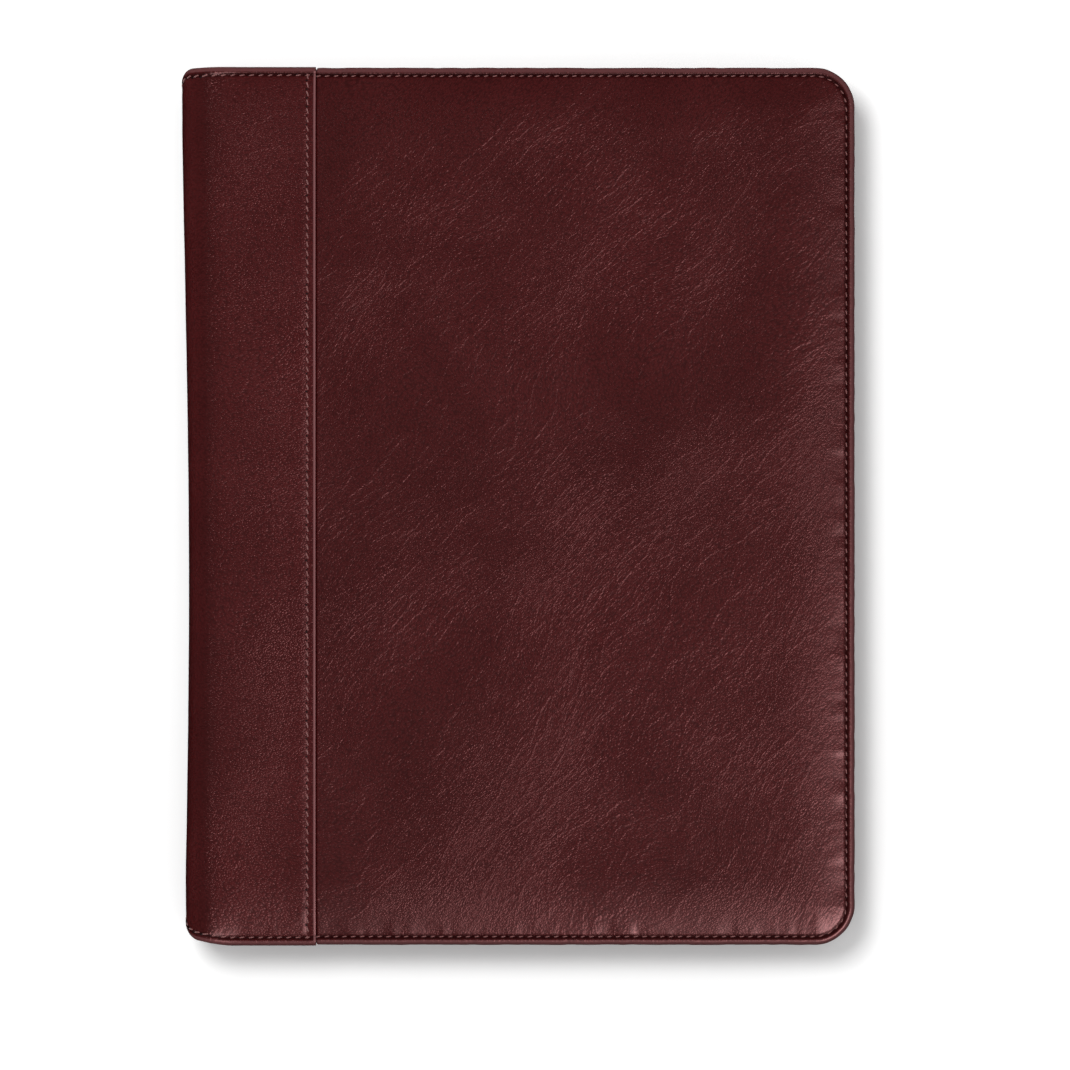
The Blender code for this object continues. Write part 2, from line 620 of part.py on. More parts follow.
def pen_loop(carrier, finish):
    """A leather loop in the gutter, with a tab that is sewn to the lining beside the pad pocket."""
    x = PEN_LOOP_X
    z = POCKET_TOP + PEN_LOOP_OUTER_RADIUS
    inner_radius = PEN_LOOP_OUTER_RADIUS - PEN_LOOP_LEATHER
    turns = [2 * math.pi * i / PEN_LOOP_STEPS for i in range(PEN_LOOP_STEPS)]
    half = PEN_LOOP_LENGTH / 2

    def circle(radius):
        return [(x + radius * math.sin(a), z - radius * math.cos(a)) for a in turns]

    tube = prism_along_y(circle(PEN_LOOP_OUTER_RADIUS), -half, half)
    loop = add_piece("pen_loop", tube, carrier, finish["leather"])
    right = POCKET_LEFT - CLEARANCE
    reach = half - PEN_LOOP_TAB_SET_IN
    # The tab starts inside the loop's wall, so that the two join into one piece.
    tab = box(x, right, -reach, reach, POCKET_TOP + CLEARANCE / 2, POCKET_TOP + PEN_LOOP_LEATHER)
    boolean(loop, "UNION", "pen_loop_tab", tab, carrier)
    bore = prism_along_y(circle(inner_radius), -CASE_HEIGHT, CASE_HEIGHT)
    boolean(loop, "DIFFERENCE", "pen_bore", bore, carrier)


# ---------------------------------------------------------------- the writing pad


def staple(name, x, carrier, steel):
    """A wire staple: its crown lies on the tape and its legs go down through the sheets."""
    y = PAD_HALF - STAPLE_FROM_HEAD
    half, wire = STAPLE_CROWN / 2, STAPLE_WIRE
    crown_low = TAPE_HIGH + CLEARANCE
    crown_high = crown_low + wire
    foot = BACKING_HIGH + CLEARANCE
    profile = [
        (x - half, foot),
        (x - half + wire, foot),
        (x - half + wire, crown_low),
        (x + half - wire, crown_low),
        (x + half - wire, foot),
        (x + half, foot),
        (x + half, crown_high),
        (x - half, crown_high),
    ]
    add_piece(name, prism_along_y(profile, y - wire / 2, y + wire / 2), carrier, steel)


def leg_holes(target, staple_x, carrier):
    """The square holes that the staples' legs pass through."""
    y = PAD_HALF - STAPLE_FROM_HEAD
    half_hole = STAPLE_WIRE / 2 + CLEARANCE
    reach = (STAPLE_CROWN - STAPLE_WIRE) / 2
    for side, x in staple_x.items():
        for leg, offset in (("near", -reach), ("far", reach)):
            hole = box(
                x + offset - half_hole,
                x + offset + half_hole,
                y - half_hole,
                y + half_hole,
                STACK_LOW - CLEARANCE,
                TAPE_HIGH + CLEARANCE,
            )
            boolean(target, "DIFFERENCE", f"{target.name}_hole_{side}_{leg}", hole, carrier)


def build_pad(carrier, finish):
    centre = (PAD_LEFT + PAD_RIGHT) / 2
    staple_x = {"left": centre - STAPLE_SPACING / 2, "right": centre + STAPLE_SPACING / 2}
    backing = box(PAD_LEFT, PAD_RIGHT, -PAD_HALF, PAD_HALF, BACKING_LOW, BACKING_HIGH)
    add_piece("pad_backing_card", backing, carrier, finish["board"])
    stack = box(PAD_LEFT, PAD_RIGHT, -PAD_HALF, PAD_HALF, STACK_LOW, STACK_HIGH)
    leg_holes(add_piece("pad_sheets", stack, carrier, finish["paper"]), staple_x, carrier)
    y0, y1 = PAD_HALF - TAPE_HEIGHT, PAD_HALF + CLEARANCE
    profile = [
        (y0, TAPE_LOW),
        (y1, TAPE_LOW),
        (y1, BACKING_LOW),
        (y1 + TAPE_THICKNESS, BACKING_LOW),
        (y1 + TAPE_THICKNESS, TAPE_HIGH),
        (y0, TAPE_HIGH),
    ]
    tape = add_piece("pad_binding_tape", prism_along_x(profile, PAD_LEFT, PAD_RIGHT), carrier, finish["tape"])
    leg_holes(tape, staple_x, carrier)
    for side, x in staple_x.items():
        staple(f"pad_staple_{side}", x, carrier, finish["steel"])


# ---------------------------------------------------------------- the whole case


def main():
    for obj in list(bpy.data.objects):
        bpy.data.objects.remove(obj)
    finish = {
        "leather": material("wine_leather", (0.062, 0.013, 0.014), 0.42),
        "pocket_leather": material("wine_pocket_leather", (0.055, 0.012, 0.013), 0.5),
        "lining": material("wine_lining", (0.05, 0.012, 0.013), 0.7),
        "foam": material("grey_foam", (0.3, 0.3, 0.31), 0.95),
        "board": material("grey_board", (0.33, 0.3, 0.26), 0.9),
        "thread": material("wine_thread", (0.12, 0.03, 0.035), 0.6),
        "paper": material("white_paper", (0.85, 0.85, 0.82), 0.85),
        "tape": material("dark_tape", (0.03, 0.03, 0.032), 0.6),
        "steel": material("staple_steel", (0.6, 0.6, 0.6), 0.3, 1.0),
    }
    fold_x = SPINE_X + FOLD_AXIS_INSET
    back_cover = body("back_cover", (0.0, 0.0, 0.0))
    spine = body("spine", (fold_x, 0.0, FOLD_AXIS_INSET))
    front_cover = body("front_cover", (fold_x, 0.0, CASE_THICKNESS - FOLD_AXIS_INSET))
    writing_pad = body("writing_pad", ((PAD_LEFT + PAD_RIGHT) / 2, 0.0, BACKING_LOW))
    build_cover("back", back_cover, finish)
    build_cover("front", front_cover, finish)
    build_spine(spine, finish)
    pad_pocket(back_cover, finish)
    pen_loop(back_cover, finish)
    document_pocket(front_cover, finish)
    memo_pocket(front_cover, finish)
    card_slots(front_cover, finish)
    build_pad(writing_pad, finish)


main()
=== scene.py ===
import json
import math

import bmesh
import bpy
import numpy as np
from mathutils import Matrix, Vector


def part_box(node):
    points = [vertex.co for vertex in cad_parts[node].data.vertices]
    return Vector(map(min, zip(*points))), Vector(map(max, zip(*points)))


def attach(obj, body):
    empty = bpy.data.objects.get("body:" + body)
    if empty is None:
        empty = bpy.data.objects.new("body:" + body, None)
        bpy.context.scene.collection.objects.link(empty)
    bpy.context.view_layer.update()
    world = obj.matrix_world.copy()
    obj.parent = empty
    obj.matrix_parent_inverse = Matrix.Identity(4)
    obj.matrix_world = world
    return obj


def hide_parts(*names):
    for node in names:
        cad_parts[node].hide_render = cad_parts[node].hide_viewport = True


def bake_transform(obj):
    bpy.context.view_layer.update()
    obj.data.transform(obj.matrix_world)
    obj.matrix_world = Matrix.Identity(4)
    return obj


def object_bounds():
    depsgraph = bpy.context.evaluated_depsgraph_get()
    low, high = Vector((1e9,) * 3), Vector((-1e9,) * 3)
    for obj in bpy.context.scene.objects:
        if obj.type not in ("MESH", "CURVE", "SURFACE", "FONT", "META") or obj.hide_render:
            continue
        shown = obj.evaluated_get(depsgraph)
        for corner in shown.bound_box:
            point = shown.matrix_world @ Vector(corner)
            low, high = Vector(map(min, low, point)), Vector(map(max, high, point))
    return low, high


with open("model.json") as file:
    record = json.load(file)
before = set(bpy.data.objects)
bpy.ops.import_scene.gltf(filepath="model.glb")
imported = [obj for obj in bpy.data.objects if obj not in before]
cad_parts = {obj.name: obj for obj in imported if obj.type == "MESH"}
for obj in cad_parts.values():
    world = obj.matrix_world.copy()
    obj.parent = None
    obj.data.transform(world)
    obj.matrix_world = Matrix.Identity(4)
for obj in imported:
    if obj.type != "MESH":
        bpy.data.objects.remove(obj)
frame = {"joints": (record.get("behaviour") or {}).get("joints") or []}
CAD_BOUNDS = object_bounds()

MM = 0.001

# ---- sizes read from the frame

SPINE_X, FORE_X = CAD_BOUNDS[0].x, CAD_BOUNDS[1].x
HALF = CAD_BOUNDS[1].y  # half the height of the case, tail to head
TOP = CAD_BOUNDS[1].z
MID_Z = TOP / 2
FRONT_FOLD = next(Vector(joint["pos_m"]) for joint in frame["joints"] if joint["name"] == "front_fold")
SPINE_RADIUS = (FRONT_FOLD.x - SPINE_X) / (1 - math.pi / 4)  # the fold line is halfway round the bend
FOLD_X = SPINE_X + SPINE_RADIUS
SEAM_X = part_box("spine_wrap_front_flap")[1].x
TURN_IN_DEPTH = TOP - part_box("front_outer_panel")[0].z
LINING_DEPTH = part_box("back_board")[1].z + 0.3 * MM

# ---- sizes of the leatherwork
# A depth is measured inwards from the crown of a cover's outside, an inset inwards from its outline.

LEATHER = 1.1 * MM
LINING = 0.8 * MM
SKIVED = 0.6 * MM  # the wrap's leather, thinned where it is folded
CORNER = 14.5 * MM
TURN_IN = 3.5 * MM
LINING_INSET = 3.8 * MM
GUTTER_DEPTH = 2.4 * MM
FOAM_BACK, FOAM_CORNER = 3.5 * MM, 9 * MM
STRIP_FRONT, STRIP_BACK = 1.95 * MM, 2.3 * MM  # depths of the spine's reinforcement

PILLOW_WIDTH = 27.0 * MM  # the padding falls away over this much of the edge
PILLOW_FALL = 2.3  # the power that steepens it towards the stitches
COVER_DIP, SPINE_DIP = 2.8 * MM, 0.7 * MM  # depth at the stitches
COVER_CREST, SPINE_CREST = 2.25 * MM, 0.5 * MM  # depth of the bead's top
SPINE_TURN_IN_DEPTH = 3.5 * MM
BEAD = 2.0 * MM
BEAD_STEPS = 14
# the bead's rub value: wear that smooths its grain, and on the leather a painted highlight in the lighter
# rubbed wine
BEAD_RUB_AND_HIGHLIGHT = 0.3
EDGE_GROOVE = 0.55 * MM
PANEL_RELIEF, WRAP_RELIEF = 0.36 * MM, 0.4 * MM
PANEL_CREASES, WRAP_CREASES = 0.3 * MM, 0.26 * MM

WRAP_PROUD = 0.3 * MM
LAP = 3.0 * MM
LAP_DROP = 0.72 * MM
SPINE_BOW = 2.95 * MM
SPINE_SPREAD = 0.9 * MM
END_DRAW = {1: 0.5 * MM, -1: 2.2 * MM}  # how far the spine's head (1) and tail (-1) are drawn in
END_CORNER = {1: 3.3 * MM, -1: 5.0 * MM}  # and how round they are

STITCH_INSET = 3.1 * MM
STITCH_PITCH = 3.2 * MM
HOLE_RADIUS = 0.62 * MM
SEAM_STITCH = 3.0 * MM

STEP, FINE_STEP = 1.0 * MM, 0.5 * MM
EDGE_BAND = 8 * MM  # this close to an edge the mesh is fine
COARSE = 4  # the inside of a skin has one point to this many outside
CORNER_BLOCK = 24 * MM  # the part of a grid that bends round a corner


def smooth(share):
    share = np.clip(share, 0.0, 1.0)
    return share * share * (3 - 2 * share)


def mix(a, b, share):
    return a + (b - a) * share


def bump(value, centre, width):
    """A soft hump that is 1 at the centre."""
    return np.exp(-(((value - centre) / width) ** 2))


# ---- relief of the leather


def lattice_noise(u, v, cell, seed):
    """Smooth noise from -1 to 1 with bumps about one cell wide."""
    size = 256
    table = np.random.default_rng(seed).uniform(-1, 1, (size, size))
    u, v = np.asarray(u) / cell + 97.0, np.asarray(v) / cell + 131.0
    i, j = np.floor(u).astype(int), np.floor(v).astype(int)
    f, g = smooth(u - i), smooth(v - j)
    i, j, i1, j1 = i % size, j % size, (i + 1) % size, (j + 1) % size
    near = mix(table[i, j], table[i1, j], f)
    far = mix(table[i, j1], table[i1, j1], f)
    return mix(near, far, g)


def hide_relief(x, y, seed):
    """How far leather sinks into its foam, about 0 to 1, in folds that slant up to the right."""
    along, across = (x + y) * 0.7071, (y - x) * 0.7071
    broad = lattice_noise(x, y, 62 * MM, seed)
    middle = lattice_noise(along * 0.6, across, 21 * MM, seed + 1)
    small = lattice_noise(along * 0.45, across, 6.5 * MM, seed + 2)
    return 0.5 + 0.26 * broad + 0.17 * middle + 0.11 * small


def edge_puckers(run, inset, seed):
    """Short creases that run in from the stitching, square to the edge."""
    wide = lattice_noise(run, inset * 0.12, 5.5 * MM, seed)
    narrow = lattice_noise(run, inset * 0.2, 2.6 * MM, seed + 1)
    return bump(inset, STITCH_INSET, 5.2 * MM) * (0.55 * wide + 0.45 * narrow)


# ---- meshes


def in_scene(name, data):
    made = bpy.data.objects.new(name, data)
    bpy.context.scene.collection.objects.link(made)
    return made


class Skin:
    """Gathers the vertices, faces and surface values of one piece."""

    def __init__(self):
        # the rub value per point: above 0 rubbed wear with a painted highlight, below 0 painted shade
        self.points, self.faces, self.rub, self.edge = [], [], [], []

    def add(self, x, y, z, rub=0.0, run=0.0, inset=PILLOW_WIDTH):
        """Adds a block of vertices and returns their numbers in the same arrangement."""
        place = np.stack(np.broadcast_arrays(x, y, z), axis=-1)
        shape = place.shape[:-1]
        index = np.arange(place[..., 0].size).reshape(shape) + len(self.points)
        self.points.extend(map(tuple, place.reshape(-1, 3).tolist()))
        self.rub.extend(np.broadcast_to(rub, shape).ravel().tolist())
        surface = np.stack(np.broadcast_arrays(run, inset, 0.0 * place[..., 0]), axis=-1)
        self.edge.extend(surface.reshape(-1, 3).tolist())
        return index

    def grid(self, index):
        quads = np.stack([index[:-1, :-1], index[:-1, 1:], index[1:, 1:], index[1:, :-1]], axis=-1)
        self.faces.extend(quads.reshape(-1, 4).tolist())

    def strip(self, near, far):
        self.grid(np.stack([near, far]))

    def fan(self, fine, coarse):
        """Faces between a fine row and a row that has only every fourth point."""
        for i in range(len(coarse) - 1):
            self.faces.append([coarse[i + 1], coarse[i], *fine[i * COARSE : (i + 1) * COARSE + 1]])

    def piece(self, name, finish):
        mesh = bpy.data.meshes.new(name)
        mesh.from_pydata(self.points, [], self.faces)
        for key, values in (("rub", self.rub), ("edge", self.edge)):
            values = np.asarray(values, np.float32)
            kind = "FLOAT" if values.ndim == 1 else "FLOAT_VECTOR"
            attribute = mesh.attributes.new(key, kind, "POINT")
            attribute.data.foreach_set("value" if values.ndim == 1 else "vector", values.ravel())
        face_outwards(mesh)
        mesh.materials.append(finish)
        mesh.shade_smooth()
        mesh.set_sharp_from_angle(angle=math.radians(55))
        return in_scene(name, mesh)


def face_outwards(mesh):
    shape = bmesh.new()
    shape.from_mesh(mesh)
    bmesh.ops.recalc_face_normals(shape, faces=shape.faces)
    shape.to_mesh(mesh)
    shape.free()


def graded(start, *stretches):
    """Positions along a line, where each stretch is (its end, its step). The count suits the coarse step."""
    line = [start]
    for end, step in stretches:
        count = max(1, round((end - line[-1]) / step))
        line += list(np.linspace(line[-1], end, count + 1)[1:])
    extra = (len(line) - 1) % COARSE
    keep = np.linspace(0, len(line) - 1, len(line) - extra)
    return np.interp(keep, np.arange(len(line)), line)


def mirrored(line):
    """A line from 0 upwards, carried on below 0."""
    return np.concatenate([-line[:0:-1], line])


# ---- the edge of a cover


def edge_distance(x, y):
    """How far inside a cover's outline a point lies. The outline is open at the spine."""
    qx, qy = x - (FORE_X - CORNER), np.abs(y) - (HALF - CORNER)
    in_corner = (qx > 0) & (qy > 0)
    return CORNER - np.where(in_corner, np.hypot(qx, qy), np.maximum(qx, qy))


def edge_run(x, y):
    """Distance along the outline from the middle of the fore edge, below zero towards the tail."""
    qx, qy = x - (FORE_X - CORNER), np.abs(y) - (HALF - CORNER)
    in_corner = (qx > 0) & (qy > 0)
    angle = np.where(in_corner, np.arctan2(np.maximum(qy, 0), np.maximum(qx, 1e-9)), 0.0)
    run = np.minimum(np.abs(y), HALF - CORNER) + CORNER * angle
    beside_end = ~in_corner & (qy > qx)
    run = np.where(beside_end, HALF - CORNER + CORNER * math.pi / 2 - qx, run)
    return np.sign(y) * run


def round_corner(x, y, corner, side, radius):
    """Bends a rectangular grid near one corner so that its border follows a rounded outline."""
    block = CORNER_BLOCK
    a = (side[0] * (x - corner[0]) + block) / block
    b = (side[1] * (y - corner[1]) + block) / block
    inside = (a > 0) & (b > 0)
    reach = np.maximum(np.maximum(a, b), 1e-9)
    along = np.minimum(a, b) / reach * (block - radius + radius * math.pi / 4)
    turn = np.clip((along - (block - radius)) / radius, 0, None)
    short = np.where(turn > 0, block - radius + radius * np.sin(turn), along) * reach
    long = np.where(turn > 0, block - radius + radius * np.cos(turn), block) * reach
    new_x = corner[0] + side[0] * (np.where(a >= b, long, short) - block)
    new_y = corner[1] + side[1] * (np.where(a >= b, short, long) - block)
    return np.where(inside, new_x, x), np.where(inside, new_y, y)


def edge_depth(inset, share=0.0):
    """Depth of the leather's outside below its crown, out to the top of the bead.

    The share is 0 on a cover and 1 on the spine.
    """
    dip, crest = mix(COVER_DIP, SPINE_DIP, share), mix(COVER_CREST, SPINE_CREST, share)
    reach = np.clip((inset - STITCH_INSET) / (PILLOW_WIDTH - STITCH_INSET), 0, 1)
    pillow = dip * (1 - reach) ** PILLOW_FALL
    rise = smooth((STITCH_INSET - inset) / (STITCH_INSET - BEAD))
    groove = EDGE_GROOVE * bump(inset, STITCH_INSET - 0.25 * MM, 0.6 * MM)
    groove = groove * (1 - rise) * (1 - 0.7 * share)
    return np.where(inset > STITCH_INSET, pillow, mix(dip, crest, rise)) + groove


def bead_section(share, offset):
    """(outset, depth) points round the bead and back under it, an offset inside the leather's outside."""
    crest = mix(COVER_CREST, SPINE_CREST, share)
    bottom = mix(TURN_IN_DEPTH, SPINE_TURN_IN_DEPTH, share)
    centre = (crest + bottom) / 2
    wide = np.maximum(BEAD - offset, 0.15 * MM)
    tall = np.maximum((bottom - crest) / 2 - offset, 0.3 * MM)
    angles = np.linspace(0, math.pi, BEAD_STEPS + 1)[1:]
    points = [(wide * math.sin(a), centre - tall * math.cos(a)) for a in angles]
    return [*points, (BEAD - TURN_IN + 0 * wide, centre + tall)]


# ---- the padded outer panels


def cover_z(side, depth):
    return TOP - depth if side == "front" else depth


def lap_drop(x):
    """How far the panel dips where it passes under the spine wrap."""
    return LAP_DROP * (1 - smooth((x - SEAM_X) / (0.7 * MM)))


def past_stitches(inset):
    """0 on the bead and 1 inside the stitches."""
    return smooth((inset - 2.6 * MM) / (1.2 * MM))


def panel_depth(x, y, seed):
    """Depth of a padded panel's outside, with its relief and its edge creases."""
    inset, run = edge_distance(x, y), edge_run(x, y)
    relief = PANEL_RELIEF * hide_relief(x, y, seed) * smooth((inset - STITCH_INSET) / (14 * MM))
    creases = PANEL_CREASES * edge_puckers(run, inset, seed + 7) * past_stitches(inset)
    return edge_depth(inset) + relief + creases + lap_drop(x)


def outer_panel(side, seed, finish):
    """The padded leather of one cover: a fine outside, a turned and beaded edge, and a plainer inside."""
    x1, y1 = FORE_X - BEAD, HALF - BEAD
    lap_edge = [(SEAM_X, STEP), (SEAM_X + 1.2 * MM, 0.15 * MM), (SEAM_X + LAP, FINE_STEP)]
    xs = graded(SEAM_X - LAP, *lap_edge, (x1 - EDGE_BAND, STEP), (x1, FINE_STEP))
    ys = mirrored(graded(0.0, (y1 - EDGE_BAND, STEP), (y1, FINE_STEP)))
    x, y = np.meshgrid(xs, ys)
    for end in (-1, 1):
        x, y = round_corner(x, y, (x1, end * y1), (1, end), CORNER - BEAD)
    skin = Skin()
    z = cover_z(side, panel_depth(x, y, seed))
    outside = skin.add(x, y, z, run=edge_run(x, y), inset=edge_distance(x, y))
    cx, cy = x[::COARSE, ::COARSE], y[::COARSE, ::COARSE]
    inside = skin.add(cx, cy, cover_z(side, panel_depth(cx, cy, seed) + LEATHER))
    skin.grid(outside)
    skin.grid(inside)

    def border(index):
        """From the seam along the tail, up the fore edge, and back along the head."""
        return np.concatenate([index[0], index[1:-1, -1], index[-1, ::-1]])

    bx, by = border(x), border(y)
    qx, qy = np.maximum(bx - (FORE_X - CORNER), 0), np.maximum(np.abs(by) - (HALF - CORNER), 0)
    size = np.hypot(qx, qy)
    nx, ny = qx / size, np.sign(by) * qy / size
    run, drop = edge_run(bx, by), lap_drop(bx)
    ripple = 0.1 * MM * lattice_noise(run, 0 * run, STITCH_PITCH, seed + 11)
    outer, inner = [border(outside)], [border(inside)]
    for outset, depth in bead_section(0.0, drop):
        out = outset + ripple * (outset > 0)
        place = (bx + nx * out, by + ny * out, cover_z(side, depth))
        outer.append(skin.add(*place, rub=BEAD_RUB_AND_HIGHLIGHT, run=run, inset=BEAD - outset))
    few = slice(None, None, COARSE)
    for outset, depth in bead_section(0.0, drop + LEATHER):
        out = outset[few]
        place = (bx[few] + nx[few] * out, by[few] + ny[few] * out, cover_z(side, depth[few]))
        inner.append(skin.add(*place))
    for near, far in [*zip(outer, outer[1:]), *zip(inner, inner[1:])]:
        skin.strip(near, far)
    skin.fan(outer[-1], inner[-1])
    skin.fan(outside[:, 0], inside[:, 0])
    for end in (0, -1):
        skin.strip(np.array([row[end] for row in outer]), np.array([row[end] for row in inner]))
    return skin.piece(f"{side}_cover_leather", finish)


# ---- the spine wrap

FLAT_RUN = SEAM_X - FOLD_X
ARC_RUN = SPINE_RADIUS * math.pi / 2
WRAP_RUN = FLAT_RUN + ARC_RUN + MID_Z - SPINE_RADIUS


def wrap_path(run):
    """(x, depth, outward x, outward depth) at a distance from the seam, round to the middle of the spine."""
    angle = np.clip((run - FLAT_RUN) / SPINE_RADIUS, 0, math.pi / 2)
    past = np.maximum(run - FLAT_RUN - ARC_RUN, 0)
    x = SEAM_X - np.minimum(run, FLAT_RUN) - SPINE_RADIUS * np.sin(angle)
    depth = SPINE_RADIUS * (1 - np.cos(angle)) + past
    return x, depth, -np.sin(angle), -np.cos(angle)


def spine_bow(y, out_x):
    """How far the outside of the spine is drawn in between head and tail."""
    share = np.clip((HALF - y) / (2 * HALF) / 1.2, 0, 1)
    return (SPINE_BOW * np.sin(math.pi * share) ** 1.2 - SPINE_SPREAD) * np.abs(out_x) ** 1.5


def end_pull(run, out_x, end):
    """How far the head (1) or tail (-1) edge is drawn in as it nears the spine, and round its corner."""
    draw, corner = END_DRAW[end], END_CORNER[end]
    near = smooth((run - FLAT_RUN + 9 * MM) / (19 * MM))
    start = 1 - corner / SPINE_RADIUS
    turn = np.clip((np.abs(out_x) - start) / (1 - start), 0, 1)
    return draw * near + corner * (1 - np.sqrt(1 - turn**2))


def wrap_share(run):
    """0 where the wrap lies on the cover and 1 where it goes round the spine."""
    return smooth((run - FLAT_RUN + 12 * MM) / (14 * MM))


def wrap_depth(run, y, inset, seed):
    """Depth of the wrap's outside below its path."""
    share = wrap_share(run)
    settle = smooth((WRAP_RUN - run) / (4 * MM))
    relief = WRAP_RELIEF * mix(0.5, hide_relief(SEAM_X - run, y, seed), settle)
    relief = relief * smooth((inset - STITCH_INSET) / (12 * MM)) * smooth((run - SEAM_STITCH) / (8 * MM))
    creases = WRAP_CREASES * edge_puckers(run, inset, seed + 5) * past_stitches(inset) * settle
    seam = 0.35 * MM * bump(run, SEAM_STITCH, 0.8 * MM) * smooth((inset - STITCH_INSET) / (2 * MM))
    pinch = 0.12 * MM * lattice_noise(y, 0 * y, STITCH_PITCH, seed + 6)
    pinch = pinch * bump(run, SEAM_STITCH + 1.5 * MM, 2.5 * MM)
    return edge_depth(inset, share) + relief + creases + seam + pinch - WRAP_PROUD * (1 - share)


def wrap_place(side, run, y, depth):
    """The point at a depth under the wrap's path. Both ends of the spine are drawn in at y."""
    x, path_depth, out_x, out_depth = wrap_path(run)
    x = x - out_x * depth + spine_bow(y, out_x)
    return x, y, cover_z(side, path_depth - out_depth * depth)


def spine_wrap(side, seed, finish):
    """Half of the leather round the spine, from the seam on one cover to the middle of the spine."""
    runs = np.concatenate([[0.0, 0.08, 0.18, 0.3, 0.6], np.linspace(1.0, WRAP_RUN / MM, 65)]) * MM
    reach = HALF + WRAP_PROUD - BEAD
    ys = mirrored(graded(0.0, (reach - EDGE_BAND, STEP), (reach, FINE_STEP)))
    run = runs[:, None]
    out_x = wrap_path(run)[2]
    share = wrap_share(run)
    ends = {end: reach - end_pull(run, out_x, end) for end in (1, -1)}
    thick = mix(SKIVED, LEATHER, smooth((run - MM) / (3 * MM)))
    fold = SKIVED / 2 * (1 - np.sqrt(1 - np.clip(1 - run / (SKIVED / 2), 0, 1) ** 2))
    # painted highlight, partly wear, along the folded edge
    folded_edge = 1 - smooth((run - 0.35 * MM) / (0.5 * MM))
    # painted shade in the hollow where the wrap starts round the spine
    bend_shade = bump(run, FLAT_RUN + 2 * MM, 5 * MM)
    rub = 1.5 * folded_edge - 0.8 * bend_shade
    skin = Skin()

    def surface(line, offset):
        y = line * np.where(line > 0, ends[1], ends[-1]) / reach
        inset = BEAD + np.where(line > 0, ends[1] - y, ends[-1] + y)
        depth = wrap_depth(run, y, inset, seed) + offset
        return skin.add(*wrap_place(side, run, y, depth), rub=rub + 0 * y, run=run, inset=inset)

    outside = surface(ys, fold)
    inside = surface(ys[::COARSE], thick - fold)
    skin.grid(outside)
    skin.grid(inside)
    beads = {}
    for end in (-1, 1):
        for layer, offset in (("outer", fold), ("inner", thick - fold)):
            first = outside if layer == "outer" else inside
            rows = [first[:, 0 if end < 0 else -1]]
            for outset, depth in bead_section(share, offset):
                y = end * (ends[end] + outset)
                proud = WRAP_PROUD * (1 - share)
                place = wrap_place(side, run, y, depth - proud * (depth < TURN_IN_DEPTH / 2))
                rows.append(skin.add(*place, rub=BEAD_RUB_AND_HIGHLIGHT, run=run, inset=BEAD - outset)[:, 0])
            for near, far in zip(rows, rows[1:]):
                skin.strip(near, far)
            beads[end, layer] = rows
        skin.strip(beads[end, "outer"][-1], beads[end, "inner"][-1])
    for station in (0, -1):
        skin.fan(outside[station], inside[station])
        for end in (-1, 1):
            outer = np.array([row[station] for row in beads[end, "outer"]])
            inner = np.array([row[station] for row in beads[end, "inner"]])
            skin.strip(outer, inner)
    return skin.piece(f"spine_wrap_{side}_half", finish)


# ---- leaves: linings, pockets and boards


def leaf_inset(x, y, sides, radii):
    """How far inside a rectangle with some rounded corners a point lies."""
    x0, x1, y0, y1 = sides
    cx, cy = (x0 + x1) / 2, (y0 + y1) / 2
    radius = 0.0 * x
    for (sx, sy), value in radii.items():
        radius = np.where(((x - cx) * sx > 0) & ((y - cy) * sy > 0), value, radius)
    qx, qy = np.abs(x - cx) - (x1 - x0) / 2 + radius, np.abs(y - cy) - (y1 - y0) / 2 + radius
    return radius - np.minimum(np.maximum(qx, qy), 0) - np.hypot(np.maximum(qx, 0), np.maximum(qy, 0))


def leaf(name, sides, near, far, finish, place, radii=None, step=3.0 * MM, margin=0.4 * MM):
    """A thin closed piece with rounded edges. near and far give the depths of its two faces."""
    radii = radii or {}
    x0, x1, y0, y1 = sides
    left, right, tail, head = x0 + margin, x1 - margin, y0 + margin, y1 - margin
    fine = min(step, 0.9 * MM)

    def stations(start, end):
        band = min(6 * MM, (end - start) / 4)
        return graded(start, (start + band, fine), (end - band, step), (end, fine))

    x, y = np.meshgrid(stations(left, right), stations(tail, head))
    for (sx, sy), radius in radii.items():
        corner = (right if sx > 0 else left, head if sy > 0 else tail)
        x, y = round_corner(x, y, corner, (sx, sy), radius - margin)
    skin = Skin()
    inset = leaf_inset(x, y, sides, radii)
    grids = [skin.add(*place(x, y, depth(x, y, inset)), 0.0, x + y, inset) for depth in (near, far)]

    def border(index):
        return np.concatenate([index[0], index[1:-1, -1], index[-1, ::-1], index[-2:0:-1, 0]])

    bx, by, h = border(x), border(y), 0.05 * MM
    nx = leaf_inset(bx - h, by, sides, radii) - leaf_inset(bx + h, by, sides, radii)
    ny = leaf_inset(bx, by - h, sides, radii) - leaf_inset(bx, by + h, sides, radii)
    size = np.maximum(np.hypot(nx, ny), 1e-12)
    first, last = near(bx, by, margin), far(bx, by, margin)
    rows = [border(grids[0])]
    for angle in np.linspace(0, math.pi, 6)[1:-1]:
        out = margin * math.sin(angle)
        depth = mix(first, last, (1 - math.cos(angle)) / 2)
        rim = place(bx + nx / size * out, by + ny / size * out, depth)
        # a rim is marked fully rubbed: on leather, wear and a painted highlight
        rows.append(skin.add(*rim, 1.0, bx + by, margin - out))
    rows.append(border(grids[1]))
    for index in grids:
        skin.grid(index)
    for a, b in zip(rows, rows[1:]):
        skin.strip(np.append(a, a[0]), np.append(b, b[0]))
    return skin.piece(name, finish)


def fore_corners(radius):
    return {(1, 1): radius, (1, -1): radius}


def in_cover(side):
    return lambda x, y, depth: (x, y, cover_z(side, depth))


